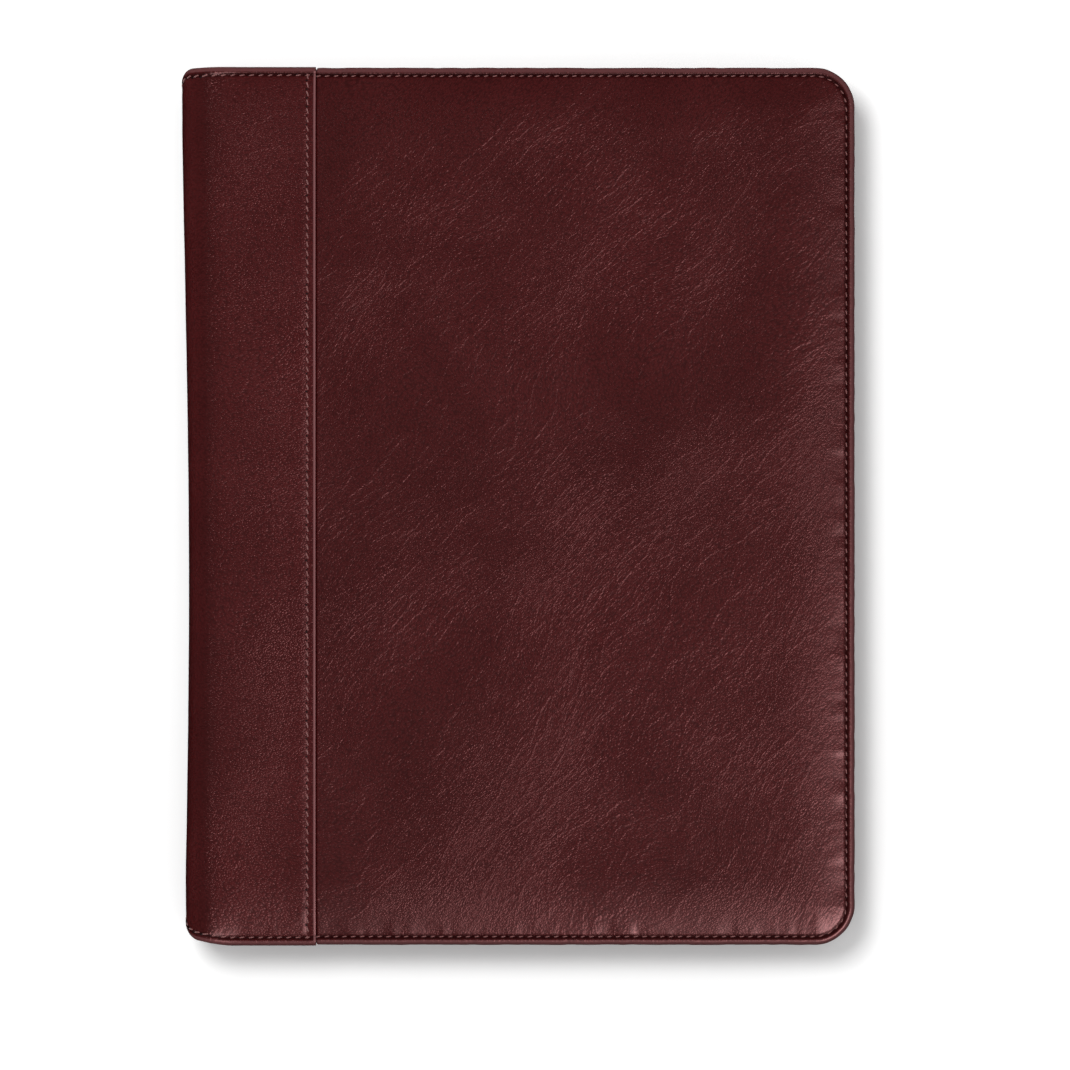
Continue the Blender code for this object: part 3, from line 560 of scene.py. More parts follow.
def round_spine(side):
    """Carries a leaf past the fold and round the spine, drawn in at its ends as the wrap is."""

    def place(x, y, depth):
        run = SEAM_X - x
        out_x = wrap_path(run)[2]
        pull = np.where(y > 0, end_pull(run, out_x, 1), end_pull(run, out_x, -1))
        return wrap_place(side, run, y * (1 - pull / HALF), depth)

    return place


def level(depth):
    return lambda x, y, inset: depth + 0.0 * x + 0.0 * inset


# ---- stitches


def corner_path(points, radius, step=1.0 * MM):
    """Way points joined by straight lines, with rounded corners."""
    path = []
    for i, point in enumerate(points):
        here = np.array(point)
        if i in (0, len(points) - 1) or radius <= 0:
            path.append(here)
            continue
        back, ahead = np.array(points[i - 1]) - here, np.array(points[i + 1]) - here
        back, ahead = back / np.linalg.norm(back), ahead / np.linalg.norm(ahead)
        centre = here + (back + ahead) * radius
        for angle in np.linspace(0, math.pi / 2, 12):
            path.append(centre - ahead * radius * math.cos(angle) - back * radius * math.sin(angle))
    path = np.array(path)
    leaf_gap_shade = np.linalg.norm(np.diff(path, axis=0), axis=1)
    along = np.concatenate([[0], np.cumsum(leaf_gap_shade)])
    even = np.linspace(0, along[-1], max(2, round(along[-1] / step)) + 1)
    return np.interp(even, along, path[:, 0]), np.interp(even, along, path[:, 1])


def stitch_tree(length, radius, pitch, seed):
    """Geometry nodes that lay separate stitches, each with its needle hole, along guide lines."""
    tree = bpy.data.node_groups.new("stitches", "GeometryNodeTree")
    for socket, kind in (("Guide", "Geometry"), ("Pitch", "Float"), ("Slant", "Float")):
        tree.interface.new_socket(socket, in_out="INPUT", socket_type="NodeSocket" + kind)
    tree.interface.new_socket("Stitches", in_out="OUTPUT", socket_type="NodeSocketGeometry")

    def step(kind, inputs=(), **settings):
        return output(tree, "GeometryNode" + kind, inputs, **settings)

    given = node(tree, "NodeGroupInput").outputs
    line = step("MeshToCurve", {"Mesh": given["Guide"]})
    line = step("ResampleCurve", {"Curve": line, "Length": given["Pitch"]}, mode="LENGTH")
    up = step("InputNamedAttribute", {"Name": "up"}, data_type="FLOAT_VECTOR")
    tangent = step("InputTangent")
    align = "FunctionNodeAlignRotationToVector"
    turn = output(tree, align, {"Vector": tangent}, axis="X")
    turn = output(tree, align, {"Rotation": turn, "Vector": up}, axis="Z", pivot_axis="X")
    uneven = {"Min": -0.07, "Max": 0.07, "Seed": seed}
    wobble = node(tree, "FunctionNodeRandomValue", uneven, data_type="FLOAT")
    wobble = next(s for s in wobble.outputs if s.enabled)
    angle = math_node(tree, "ADD", given["Slant"], wobble)
    lean = output(tree, "ShaderNodeCombineXYZ", {2: angle})
    lean = output(tree, "FunctionNodeEulerToRotation", {0: lean})
    turn = output(tree, "FunctionNodeRotateRotation", {0: turn, 1: lean}, rotation_space="LOCAL")
    bent = {"Resolution": 6}
    for end, way in (("Start", -1), ("End", 1)):
        bent[end] = (way * length / 2, 0.0, -0.8 * radius)
        bent[end + " Handle"] = (way * length / 2.6, 0.0, 1.1 * radius)
    arc = step("CurvePrimitiveBezierSegment", bent)
    ring = step("CurvePrimitiveCircle", {"Resolution": 6, "Radius": radius})
    stitch = step("CurveToMesh", {"Curve": arc, "Profile Curve": ring, "Fill Caps": True})
    punch = step("MeshUVSphere", {"Segments": 8, "Rings": 4, "Radius": HOLE_RADIUS})
    between = {"Geometry": punch, "Translation": (pitch / 2, 0.0, 0.0), "Scale": (0.8, 0.9, 0.16)}
    marked = {"Geometry": step("Transform", between), "Name": "hole", "Value": True}
    punch = step("StoreNamedAttribute", marked, data_type="BOOLEAN", domain="FACE")
    both = node(tree, "GeometryNodeJoinGeometry")
    tree.links.new(stitch, both.inputs[0])
    tree.links.new(punch, both.inputs[0])
    copies = {"Points": line, "Instance": both.outputs[0], "Rotation": turn}
    laid = step("RealizeInstances", {"Geometry": step("InstanceOnPoints", copies)})
    laid = step("SetMaterial", {"Geometry": laid, "Material": THREAD_FINISH})
    is_hole = step("InputNamedAttribute", {"Name": "hole"}, data_type="BOOLEAN")
    laid = step("SetMaterial", {"Geometry": laid, "Selection": is_hole, "Material": HOLE_FINISH})
    result = node(tree, "NodeGroupOutput")
    tree.links.new(laid, result.inputs[0])
    return tree


def stitch_row(name, rows, pitch=STITCH_PITCH, radius=0.24 * MM, slant=17.0, seed=1):
    """Lays stitches along rows. Each row is (points, outward directions)."""
    points, edges, ups = [], [], []
    for places, directions in rows:
        start = len(points)
        points.extend(map(tuple, np.asarray(places).tolist()))
        ups.extend(np.asarray(directions, np.float32).tolist())
        edges.extend((i, i + 1) for i in range(start, len(points) - 1))
    mesh = bpy.data.meshes.new(name)
    mesh.from_pydata(points, edges, [])
    up = mesh.attributes.new("up", "FLOAT_VECTOR", "POINT")
    up.data.foreach_set("vector", np.array(ups, np.float32).ravel())
    guide = in_scene(name + "_guide", mesh)
    tree = stitch_tree(0.6 * pitch, radius, pitch, seed)
    modifier = guide.modifiers.new("stitches", "NODES")
    modifier.node_group = tree
    given = {item.name: item.identifier for item in tree.interface.items_tree if item.in_out == "INPUT"}
    modifier[given["Pitch"]] = pitch
    modifier[given["Slant"]] = math.radians(slant)
    graph = bpy.context.evaluated_depsgraph_get()
    result = bpy.data.meshes.new_from_object(guide.evaluated_get(graph))
    bpy.data.objects.remove(guide)
    result.name = name
    result.shade_smooth()
    return in_scene(name, result)


def row_on(x, y, z, up):
    """A row of stitches whose outward direction is the same all along it."""
    places = np.stack(np.broadcast_arrays(x, y, z), axis=-1)
    return places, np.broadcast_to(up, places.shape)


def upwards(side):
    return (0.0, 0.0, 1.0 if side == "front" else -1.0)


def inwards(side):
    return (0.0, 0.0, -1.0 if side == "front" else 1.0)


def panel_rows(side, seed):
    """The edge row of a cover, seen on its outside and again on the turned-in margin."""
    low, high = -HALF + STITCH_INSET, HALF - STITCH_INSET
    start, fore = SEAM_X + 0.8 * MM, FORE_X - STITCH_INSET
    x, y = corner_path([(start, low), (fore, low), (fore, high), (start, high)], CORNER - STITCH_INSET)
    outside = row_on(x, y, cover_z(side, panel_depth(x, y, seed) + 0.03 * MM), upwards(side))
    inside = row_on(x, y, cover_z(side, TURN_IN_DEPTH - 0.2 * MM), inwards(side))
    return [outside, inside]


def wrap_rows(side, seed):
    """The seam row, and the head and tail rows that carry on round the spine."""
    rows = []
    reach = HALF + WRAP_PROUD
    y = np.arange(-reach + STITCH_INSET, reach - STITCH_INSET, MM)
    run = np.full_like(y, SEAM_STITCH)
    depth = wrap_depth(run, y, reach - np.abs(y), seed) - 0.05 * MM
    rows.append(row_on(*wrap_place(side, run, y, depth), upwards(side)))
    run = np.arange(SEAM_STITCH, WRAP_RUN, 0.5 * MM)
    out_x, out_depth = wrap_path(run)[2:]
    lift = -out_depth if side == "front" else out_depth
    outward = np.stack([out_x, 0 * run, lift], axis=-1)
    for end in (1, -1):
        y = end * (reach - end_pull(run, out_x, end) - STITCH_INSET)
        depth = wrap_depth(run, y, STITCH_INSET, seed) - 0.05 * MM
        rows.append((np.stack(wrap_place(side, run, y, depth), axis=-1), outward))
        under = mix(TURN_IN_DEPTH, SPINE_TURN_IN_DEPTH, wrap_share(run)) - 0.2 * MM
        rows.append((np.stack(wrap_place(side, run, y, under), axis=-1), -outward))
    return rows


# ---- shader nodes


def node(tree, kind, inputs=(), **settings):
    """Makes a node. Each input is a value, or the output that feeds it."""
    made = tree.nodes.new(kind)
    for key, value in settings.items():
        setattr(made, key, value)
    for key, value in dict(inputs).items():
        socket = made.inputs[key]
        if isinstance(key, str):
            socket = next((s for s in made.inputs if s.name == key and s.enabled), socket)
        if isinstance(value, bpy.types.NodeSocket):
            tree.links.new(value, socket)
        else:
            socket.default_value = value
    return made


def output(tree, kind, inputs=(), **settings):
    """Makes a node and returns its first output."""
    return node(tree, kind, inputs, **settings).outputs[0]


def math_node(tree, operation, *values):
    return output(tree, "ShaderNodeMath", dict(enumerate(values)), operation=operation)


def times(tree, a, b):
    return math_node(tree, "MULTIPLY", a, b)


def apart(tree, a, b):
    """The distance between two values."""
    return math_node(tree, "ABSOLUTE", math_node(tree, "SUBTRACT", a, b))


def add_share(tree, value, share, start):
    """The start plus a share of the value."""
    return math_node(tree, "MULTIPLY_ADD", value, share, start)


def mix_colour(tree, factor, a, b):
    made = node(tree, "ShaderNodeMix", {0: factor}, data_type="RGBA")
    for key, value in ((6, a), (7, b)):
        if isinstance(value, bpy.types.NodeSocket):
            tree.links.new(value, made.inputs[key])
        else:
            made.inputs[key].default_value = (*value, 1.0)
    return made.outputs[2]


def new_finish(name, **constants):
    """A new material and its node tree. Constants go on the shader's own sockets."""
    made = bpy.data.materials.new(name)
    made.use_nodes = True
    for key, value in constants.items():
        made.node_tree.nodes["Principled BSDF"].inputs[key.replace("_", " ")].default_value = value
    return made, made.node_tree


def shade(tree, colour, roughness, height, depth):
    """Joins a colour, a roughness and a relief to the tree's shader."""
    relief = {"Height": height, "Distance": depth, "Strength": 1.0}
    normal = output(tree, "ShaderNodeBump", relief)
    for key, value in {"Base Color": colour, "Roughness": roughness, "Normal": normal}.items():
        tree.links.new(value, tree.nodes["Principled BSDF"].inputs[key])


def object_place(tree):
    return node(tree, "ShaderNodeTexCoord").outputs["Object"]


def map_range(tree, value, low, high, start=0.0, end=1.0):
    inputs = {"Value": value, "From Min": low, "From Max": high, "To Min": start, "To Max": end}
    return output(tree, "ShaderNodeMapRange", inputs)


def noise(tree, place, scale, detail=3.0, channel=0):
    settings = {"Vector": place, "Scale": scale, "Detail": detail}
    return node(tree, "ShaderNodeTexNoise", settings).outputs[channel]


def wave(tree, place, scale, distortion, direction="DIAGONAL"):
    """Even ribs across one direction."""
    ribs = {"Vector": place, "Scale": scale, "Distortion": distortion}
    return node(tree, "ShaderNodeTexWave", ribs, bands_direction=direction).outputs["Fac"]


def vector_math(tree, operation, inputs):
    return output(tree, "ShaderNodeVectorMath", inputs, operation=operation)


def darker(colour, share):
    return tuple(share * c for c in colour)


def drawn_out(tree, place, slant, scale):
    """Texture space turned to a slant, then stretched along it."""
    turned = output(tree, "ShaderNodeVectorRotate", {"Vector": place, "Angle": math.radians(-slant)})
    return vector_math(tree, "MULTIPLY", {0: turned, 1: scale})


def creased_folds(tree, place, slant, scale, detail, width):
    """Thin raised lines, drawn out along one direction."""
    fold = noise(tree, drawn_out(tree, place, slant, scale), 1.0, detail)
    return map_range(tree, apart(tree, fold, 0.5), 0.0, width, 1.0, 0.0)


# lighter, pinker wine for rubbed edges: wear, and a painted highlight on the bead, the folded edge and the
# rims
RUBBED_AND_HIGHLIGHT_WINE = (0.16, 0.06, 0.062)
ROUGHNESS = (0.26, 0.38)
PEBBLE_HEIGHT, PORE_HEIGHT = 0.125, 0.05  # in millimetres, as are the next
LONG_FOLD_HEIGHT, CROSS_FOLD_HEIGHT, SHORT_FOLD_HEIGHT = 0.13, 0.085, 0.05
PUCKER_HEIGHT = 0.34


def leather_folds(tree, place, slant):
    """The creases of a hide, as (long, crossing, short)."""
    long = creased_folds(tree, place, slant + 4, (34.0, 115.0, 100.0), 3.5, 0.05)
    crossing = creased_folds(tree, place, slant + 36, (55.0, 150.0, 130.0), 3.5, 0.05)
    short = creased_folds(tree, place, slant - 12, (150.0, 400.0, 300.0), 2.0, 0.06)
    return long, crossing, short


def leather_finish(name, light, dark, grain, crease, slant):
    """Soft full-grain leather: a pebbled grain, slanting creases, edges rubbed smooth, and painted shade and
    highlights.
    """
    polish = {"Specular_IOR_Level": 0.29, "Coat_Weight": 0.6, "Coat_Roughness": 0.31}
    made, tree = new_finish(name, Specular_Tint=(1.0, 0.74, 0.74, 1.0), IOR=1.5, **polish)
    place = object_place(tree)
    drift = vector_math(tree, "SUBTRACT", {0: noise(tree, place, 13.0, 1.0, "Color"), 1: (0.5, 0.5, 0.5)})
    drift = vector_math(tree, "SCALE", {0: drift, "Scale": 0.038})
    wandering = vector_math(tree, "ADD", {0: place, 1: drift})
    long_folds, cross_folds, short_folds = leather_folds(tree, wandering, slant)
    stretched = drawn_out(tree, wandering, slant, (1200.0, 1750.0, 1500.0))
    cells = {"Vector": stretched, "Scale": 1.0, "Smoothness": 0.5}
    pebbles = node(tree, "ShaderNodeTexVoronoi", cells, feature="SMOOTH_F1").outputs["Distance"]
    pores = noise(tree, place, 2300.0)
    patches = noise(tree, wandering, 34.0, 4.0)
    clouds = noise(tree, place, 11.0)

    edge = node(tree, "ShaderNodeAttribute", attribute_name="edge").outputs["Vector"]
    run, inset = node(tree, "ShaderNodeSeparateXYZ", {0: edge}).outputs[:2]
    rub = node(tree, "ShaderNodeAttribute", attribute_name="rub").outputs["Fac"]
    near_stitches = map_range(tree, inset, 3.0 * MM, 8.0 * MM, 1.0, 0.0)
    across = output(tree, "ShaderNodeCombineXYZ", {0: run, 1: times(tree, inset, 0.14)})
    puckers = times(tree, noise(tree, across, 620.0), math_node(tree, "POWER", near_stitches, 1.3))

    lively = map_range(tree, patches, 0.38, 0.64, 0.3, 0.9)
    crossing = map_range(tree, clouds, 0.46, 0.6, 0.0, 0.8)
    height = times(tree, math_node(tree, "SUBTRACT", 1.0, pebbles), PEBBLE_HEIGHT * grain)
    height = add_share(tree, pores, PORE_HEIGHT * grain, height)
    height = add_share(tree, times(tree, long_folds, lively), LONG_FOLD_HEIGHT * crease, height)
    height = add_share(tree, times(tree, cross_folds, crossing), CROSS_FOLD_HEIGHT * crease, height)
    height = add_share(tree, times(tree, short_folds, lively), SHORT_FOLD_HEIGHT * crease, height)
    height = times(tree, height, map_range(tree, rub, 0.0, BEAD_RUB_AND_HIGHLIGHT, 1.0, 0.3))
    height = add_share(tree, puckers, PUCKER_HEIGHT, height)

    tone = math_node(tree, "ADD", times(tree, clouds, 0.5), times(tree, patches, 0.5))
    colour = mix_colour(tree, map_range(tree, tone, 0.38, 0.62), dark, light)
    # painted shade in the grain's pits
    pit_shade = map_range(tree, pebbles, 0.3, 0.75, 0.0, 0.6)
    colour = mix_colour(tree, pit_shade, colour, darker(dark, 0.4))
    # painted shade along the groove outside the stitches
    groove_shade_start = map_range(tree, inset, 2.0 * MM, 2.5 * MM, 0.0, 0.75)
    groove = times(tree, groove_shade_start, map_range(tree, inset, 3.2 * MM, 3.9 * MM, 1.0, 0.0))
    colour = mix_colour(tree, groove, colour, darker(dark, 0.25))
    # painted highlight, partly wear, on the bead, the folded edge and the rims
    colour = mix_colour(tree, times(tree, rub, 1.4), colour, RUBBED_AND_HIGHLIGHT_WINE)
    # painted shade where the rub value is below 0, in the hollow at the spine's bend
    colour = mix_colour(tree, map_range(tree, rub, -1.0, 0.0, 0.45, 0.0), colour, darker(dark, 0.4))
    dullness = add_share(tree, rub, 0.6, add_share(tree, pebbles, 0.35, patches))
    shade(tree, colour, map_range(tree, dullness, 0.4, 0.95, *ROUGHNESS), height, MM)
    return made


def plain_finish(name, colour, roughness, scale, depth, stretch=(1.0, 1.0, 1.0), **constants):
    """A plain material with a fine mottled colour and a little tooth."""
    made, tree = new_finish(name, **constants)
    place = output(tree, "ShaderNodeMapping", {"Vector": object_place(tree), "Scale": stretch})
    grain = noise(tree, place, scale, 4.0)
    colour = mix_colour(tree, grain, darker(colour, 0.8), tuple(min(1.0, 1.18 * c) for c in colour))
    shade(tree, colour, map_range(tree, grain, 0.3, 0.7, roughness - 0.06, roughness + 0.06), grain, depth)
    return made


def twill_finish(name, colour):
    """The woven lining: fine diagonal ribs."""
    made, tree = new_finish(name, Sheen_Weight=0.1, Sheen_Roughness=0.5)
    place = object_place(tree)
    ribs, weft = wave(tree, place, 620.0, 0.6), wave(tree, place, 900.0, 0.4, "Y")
    fuzz = noise(tree, place, 1500.0)
    cloth = times(tree, ribs, add_share(tree, weft, 0.4, 0.6))
    cloth = add_share(tree, fuzz, 0.3, cloth)
    colour = mix_colour(tree, cloth, darker(colour, 0.45), colour)
    shade(tree, colour, map_range(tree, fuzz, 0.3, 0.7, 0.72, 0.9), cloth, 0.12 * MM)
    return made


def thread_finish(name, colour):
    """Waxed thread: plies twisted round it, a dull sheen."""
    made, tree = new_finish(name, Sheen_Weight=0.3)
    plies = wave(tree, object_place(tree), 700.0, 1.5)
    colour = mix_colour(tree, plies, darker(colour, 0.55), colour)
    shade(tree, colour, map_range(tree, plies, 0.0, 1.0, 0.55, 0.4), plies, 0.1 * MM)
    return made


def paper_finish(name, top, spacing=7.1 * MM):
    """Ruled writing paper, with its page edges showing at the sides of the block and painted shade in the
    gaps between the leaves.
    """
    made, tree = new_finish(name)
    place = object_place(tree)
    x, y, z = node(tree, "ShaderNodeSeparateXYZ", {0: place}).outputs
    fibres = noise(tree, place, 900.0, 4.0)
    colour = mix_colour(tree, fibres, (0.6, 0.585, 0.52), (0.68, 0.665, 0.61))
    on_top = math_node(tree, "GREATER_THAN", z, top - 0.02 * MM)
    rows = apart(tree, math_node(tree, "FRACT", math_node(tree, "DIVIDE", y, spacing)), 0.5)
    below_band = math_node(tree, "LESS_THAN", y, HALF - 34 * MM)
    line = times(tree, math_node(tree, "LESS_THAN", rows, 0.028), times(tree, on_top, below_band))
    colour = mix_colour(tree, times(tree, line, 0.75), colour, (0.16, 0.33, 0.55))
    margin = math_node(tree, "ABSOLUTE", math_node(tree, "ADD", x, 68 * MM))
    margin = times(tree, math_node(tree, "LESS_THAN", margin, 0.2 * MM), on_top)
    colour = mix_colour(tree, times(tree, margin, 0.7), colour, (0.55, 0.12, 0.12))
    leaves = noise(tree, output(tree, "ShaderNodeCombineXYZ", {2: z}), 9000.0, 1.0)
    side = math_node(tree, "SUBTRACT", 1.0, on_top)
    # painted shade in the gaps between the leaves, on the sides of the block
    leaf_gap_shade = times(tree, side, map_range(tree, leaves, 0.5, 0.35))
    colour = mix_colour(tree, times(tree, leaf_gap_shade, 0.5), colour, (0.4, 0.38, 0.33))
    height = add_share(tree, times(tree, leaves, side), 3.0, fibres)
    shade(tree, colour, map_range(tree, fibres, 0.3, 0.7, 0.75, 0.9), height, 0.02 * MM)
    return made


PAD_LOW, PAD_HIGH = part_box("pad_sheets")
LIGHT_WINE, DARK_WINE = (0.06, 0.0052, 0.0056), (0.047, 0.004, 0.0043)
SPINE_LIGHT, SPINE_DARK = (0.07, 0.0062, 0.0067), (0.055, 0.0048, 0.0052)
LEATHER_FINISH = leather_finish("wine_leather", LIGHT_WINE, DARK_WINE, 1.0, 1.0, 45.0)
SPINE_FINISH = leather_finish("wine_spine_leather", SPINE_LIGHT, SPINE_DARK, 1.7, 0.8, 10.0)
POCKET_FINISH = leather_finish("wine_pocket_leather", LIGHT_WINE, DARK_WINE, 0.8, 0.4, 70.0)
LINING_FINISH = twill_finish("wine_lining_twill", (0.062, 0.011, 0.013))
THREAD_FINISH = thread_finish("wine_thread", (0.25, 0.085, 0.08))
HOLE_FINISH = plain_finish("needle_hole_shadow", (0.006, 0.001, 0.001), 0.8, 4000.0, 0.02 * MM)
FOAM_FINISH = plain_finish("pale_foam", (0.6, 0.56, 0.42), 0.9, 2500.0, 0.25 * MM)
BOARD_FINISH = plain_finish("grey_board", (0.33, 0.31, 0.28), 0.85, 700.0, 0.08 * MM, (1.0, 0.25, 1.0))
CARD_FINISH = plain_finish("pad_chipboard", (0.3, 0.24, 0.16), 0.85, 800.0, 0.06 * MM, (1.0, 0.3, 1.0))
REINFORCEMENT_FINISH = plain_finish("spine_fibre_strip", (0.5, 0.48, 0.43), 0.85, 1200.0, 0.08 * MM)
TAPE_FINISH = plain_finish("binding_tape_cloth", (0.02, 0.022, 0.03), 0.6, 2600.0, 0.06 * MM, (1.0, 0.4, 1.0))
STEEL = (0.62, 0.62, 0.63)
STEEL_FINISH = plain_finish("staple_wire", STEEL, 0.28, 1800.0, 0.01 * MM, (0.15, 1.0, 1.0), Metallic=1.0)
PAPER_FINISH = paper_finish("ruled_paper", PAD_HIGH.z)

# ---- the covers and the spine

SEEDS = {"front": 21, "back": 57}
SPINE_SEED = 33
COVERS = {"front": "front_cover", "back": "back_cover"}


def fold_with_spine(made):
    """Bakes the piece's placement into its mesh."""
    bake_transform(made)


def stand_for(made, slot, *replaced, carrier=None):
    if carrier:
        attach(made, carrier)
    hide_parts(*replaced)


def foam_top(x, y, inset):
    """Depth of the foam's outside, clear of the leather over it and never thinner than a skim."""
    cover = edge_depth(np.maximum(edge_distance(x, y), STITCH_INSET)) + 0.65 * MM + LEATHER
    lapped = (x > SEAM_X - LAP - MM) * lap_drop(x)
    return np.minimum(cover + lapped, FOAM_BACK - 0.2 * MM)


def make_cover(side):
    carrier, seed = COVERS[side], SEEDS[side]
    low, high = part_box(f"{side}_foam_padding")
    sides, faces = (low.x, high.x, low.y, high.y), (foam_top, level(FOAM_BACK))
    foam = leaf(f"{side}_foam_pad", sides, *faces, FOAM_FINISH, in_cover(side), fore_corners(FOAM_CORNER))
    stand_for(foam, "foam", f"{side}_foam_padding", carrier=carrier)

    panel = outer_panel(side, seed, LEATHER_FINISH)
    stand_for(panel, "leather", f"{side}_outer_panel", carrier=carrier)

    stitches = stitch_row(f"{side}_edge_stitches", panel_rows(side, seed), seed=seed)
    stand_for(stitches, "thread", f"{side}_edge_thread", carrier=carrier)

    wrap = spine_wrap(side, SPINE_SEED, SPINE_FINISH)
    stand_for(wrap, "leather", f"spine_wrap_{side}_flap", "spine_wrap_middle")
    fold_with_spine(wrap)

    stitches = stitch_row(f"{side}_spine_stitches", wrap_rows(side, SPINE_SEED), seed=seed + 1)
    stand_for(stitches, "thread", f"{side}_seam_thread", "spine_head_thread", "spine_tail_thread")
    fold_with_spine(stitches)

    ramp_low, ramp_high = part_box(f"{side}_board")[0].x - 0.2 * MM, FOLD_X + 1.0 * MM

    def lining_depth(extra):
        def depth(x, y, inset):
            share = smooth((ramp_low - x) / (ramp_low - ramp_high))
            return mix(LINING_DEPTH, GUTTER_DEPTH, share) + extra

        return depth

    edge = HALF - LINING_INSET
    sides = (SEAM_X - WRAP_RUN, FORE_X - LINING_INSET, -edge, edge)
    faces = lining_depth(0.0), lining_depth(LINING)
    shape = {"radii": fore_corners(CORNER - LINING_INSET), "step": 2.0 * MM, "margin": 0.25 * MM}
    lining = leaf(f"{side}_lining_sheet", sides, *faces, LINING_FINISH, round_spine(side), **shape)
    stand_for(lining, "lining", f"{side}_lining", "spine_lining")
    fold_with_spine(lining)

    low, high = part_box("spine_reinforcement")
    sides = (SEAM_X - WRAP_RUN, FOLD_X + 0.4 * MM, low.y, high.y)
    faces = level(STRIP_FRONT), level(STRIP_BACK)
    name = f"{side}_spine_reinforcement"
    strip = leaf(name, sides, *faces, REINFORCEMENT_FINISH, round_spine(side), margin=0.12 * MM)
    stand_for(strip, "board", "spine_reinforcement")
    fold_with_spine(strip)


for SIDE in ("front", "back"):
    make_cover(SIDE)

# ---- the pockets


def box_sides(name):
    low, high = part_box(name)
    return low.x, high.x, low.y, high.y


def depth_range(name, side):
    low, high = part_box(name)
    return (TOP - high.z, TOP - low.z) if side == "front" else (low.z, high.z)


def pocket(name, side, clearance, radii=None, mouth="head", panel=None):
    """A pocket's leather with its turned edge at the mouth, a clearance above what it lies on."""
    panel = panel or name + "_panel"
    sides = box_sides(panel)
    near, far = depth_range(panel, side)

    def raised(x, y, inset):
        from_mouth = x - sides[0] if mouth == "spine" else sides[3] - y
        hem = 0.22 * MM * smooth((from_mouth - HEM) / (1.2 * MM))
        dimple = 0.12 * MM * bump(inset, POCKET_STITCH, 0.9 * MM)
        wave = 0.05 * MM * lattice_noise(x, y, 38 * MM, len(name))
        return far - hem - dimple - np.abs(wave)

    made = leaf(name, sides, level(near + clearance), raised, POCKET_FINISH, in_cover(side), radii)
    stand_for(made, "pocket_leather", panel, carrier=COVERS[side])
    return made


def flat_row(side, points, radius, depth):
    x, y = corner_path(points, radius)
    return row_on(x, y, cover_z(side, depth), inwards(side))


def pouch_row(panel, side):
    """Stitches down one side of a pocket, along its bottom and up the other side."""
    x0, x1, y0, y1 = box_sides(panel)
    left, right, bottom, top = x0 + POCKET_STITCH, x1 - POCKET_STITCH, y0 + POCKET_STITCH, y1 - MOUTH_GAP
    points = [(left, top), (left, bottom), (right, bottom), (right, top)]
    return flat_row(side, points, 0, depth_range(panel, side)[1] - SUNK)


def hem_row(panel, side):
    """Stitches that hold down the turned edge at a pocket's mouth."""
    x0, x1, _, y1 = box_sides(panel)
    y = y1 - HEM_STITCH
    return flat_row(side, [(x0 + 4 * MM, y), (x1 - 4 * MM, y)], 0, depth_range(panel, side)[1] + 0.02 * MM)


def pocket_stitches(name, side, rows, *replaced):
    made = stitch_row(name, rows, pitch=2.8 * MM, radius=0.2 * MM, slant=8.0, seed=5)
    stand_for(made, "thread", *replaced, carrier=COVERS[side])


POCKET_CORNER = CORNER - LINING_INSET
POCKET_STITCH = 1.6 * MM  # from a pocket's edge
HEM, HEM_STITCH = 8 * MM, 7 * MM  # from its mouth
MOUTH_GAP = 2 * MM
SUNK = 0.08 * MM


def document_rows():
    """Stitches round the three closed sides, and along the mouth beside the spine."""
    panel = "document_pocket_panel"
    x0, x1, y0, y1 = box_sides(panel)
    far = depth_range(panel, "front")[1]
    start, right, bottom, top = x0 + MOUTH_GAP, x1 - POCKET_STITCH, y0 + POCKET_STITCH, y1 - POCKET_STITCH
    points = [(start, top), (right, top), (right, bottom), (start, bottom)]
    mouth = [(x0 + HEM_STITCH, y0 + 4 * MM), (x0 + HEM_STITCH, y1 - 4 * MM)]
    closed = flat_row("front", points, POCKET_CORNER - POCKET_STITCH, far - SUNK)
    return [closed, flat_row("front", mouth, 0, far + 0.02 * MM)]


def divider_row(panel):
    """Stitches up the middle that part the card slots in two."""
    _, _, y0, y1 = box_sides(panel)
    middle = sum(v.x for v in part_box("card_slot_divider_thread")) / 2
    points = [(middle, y0 + POCKET_STITCH), (middle, y1 - MOUTH_GAP)]
    return flat_row("front", points, 0, depth_range(panel, "front")[1] - 0.05 * MM)


DOCUMENT = pocket(
    "document_pocket", "front", 0.3 * MM, fore_corners(POCKET_CORNER), mouth="spine"
)
pocket_stitches("document_pocket_stitches", "front", document_rows(), "document_pocket_thread")

pocket("memo_pocket", "front", 0.1 * MM)
ROWS = [pouch_row("memo_pocket_panel", "front"), hem_row("memo_pocket_panel", "front")]
pocket_stitches("memo_pocket_stitches", "front", ROWS, "memo_pocket_thread")

BEHIND = DOCUMENT
for NUMBER in (1, 2, 3):
    PANEL = f"card_slot_panel_{NUMBER}"
    BEHIND = pocket(f"card_slot_{NUMBER}", "front", 0.05 * MM, panel=PANEL)
ROWS = [pouch_row("card_slot_panel_3", "front"), divider_row("card_slot_panel_3")]
pocket_stitches("card_slot_stitches", "front", ROWS, "card_slot_thread", "card_slot_divider_thread")

NEAR, FAR = depth_range("pad_pocket_panel", "back")
ROUNDED = {(1, -1): POCKET_CORNER}
pocket("pad_pocket", "back", FAR - 0.85 * MM - NEAR, ROUNDED)
ROWS = [pouch_row("pad_pocket_panel", "back"), hem_row("pad_pocket_panel", "back")]
pocket_stitches("pad_pocket_stitches", "back", ROWS, "pad_pocket_thread")

# ---- the pen loop


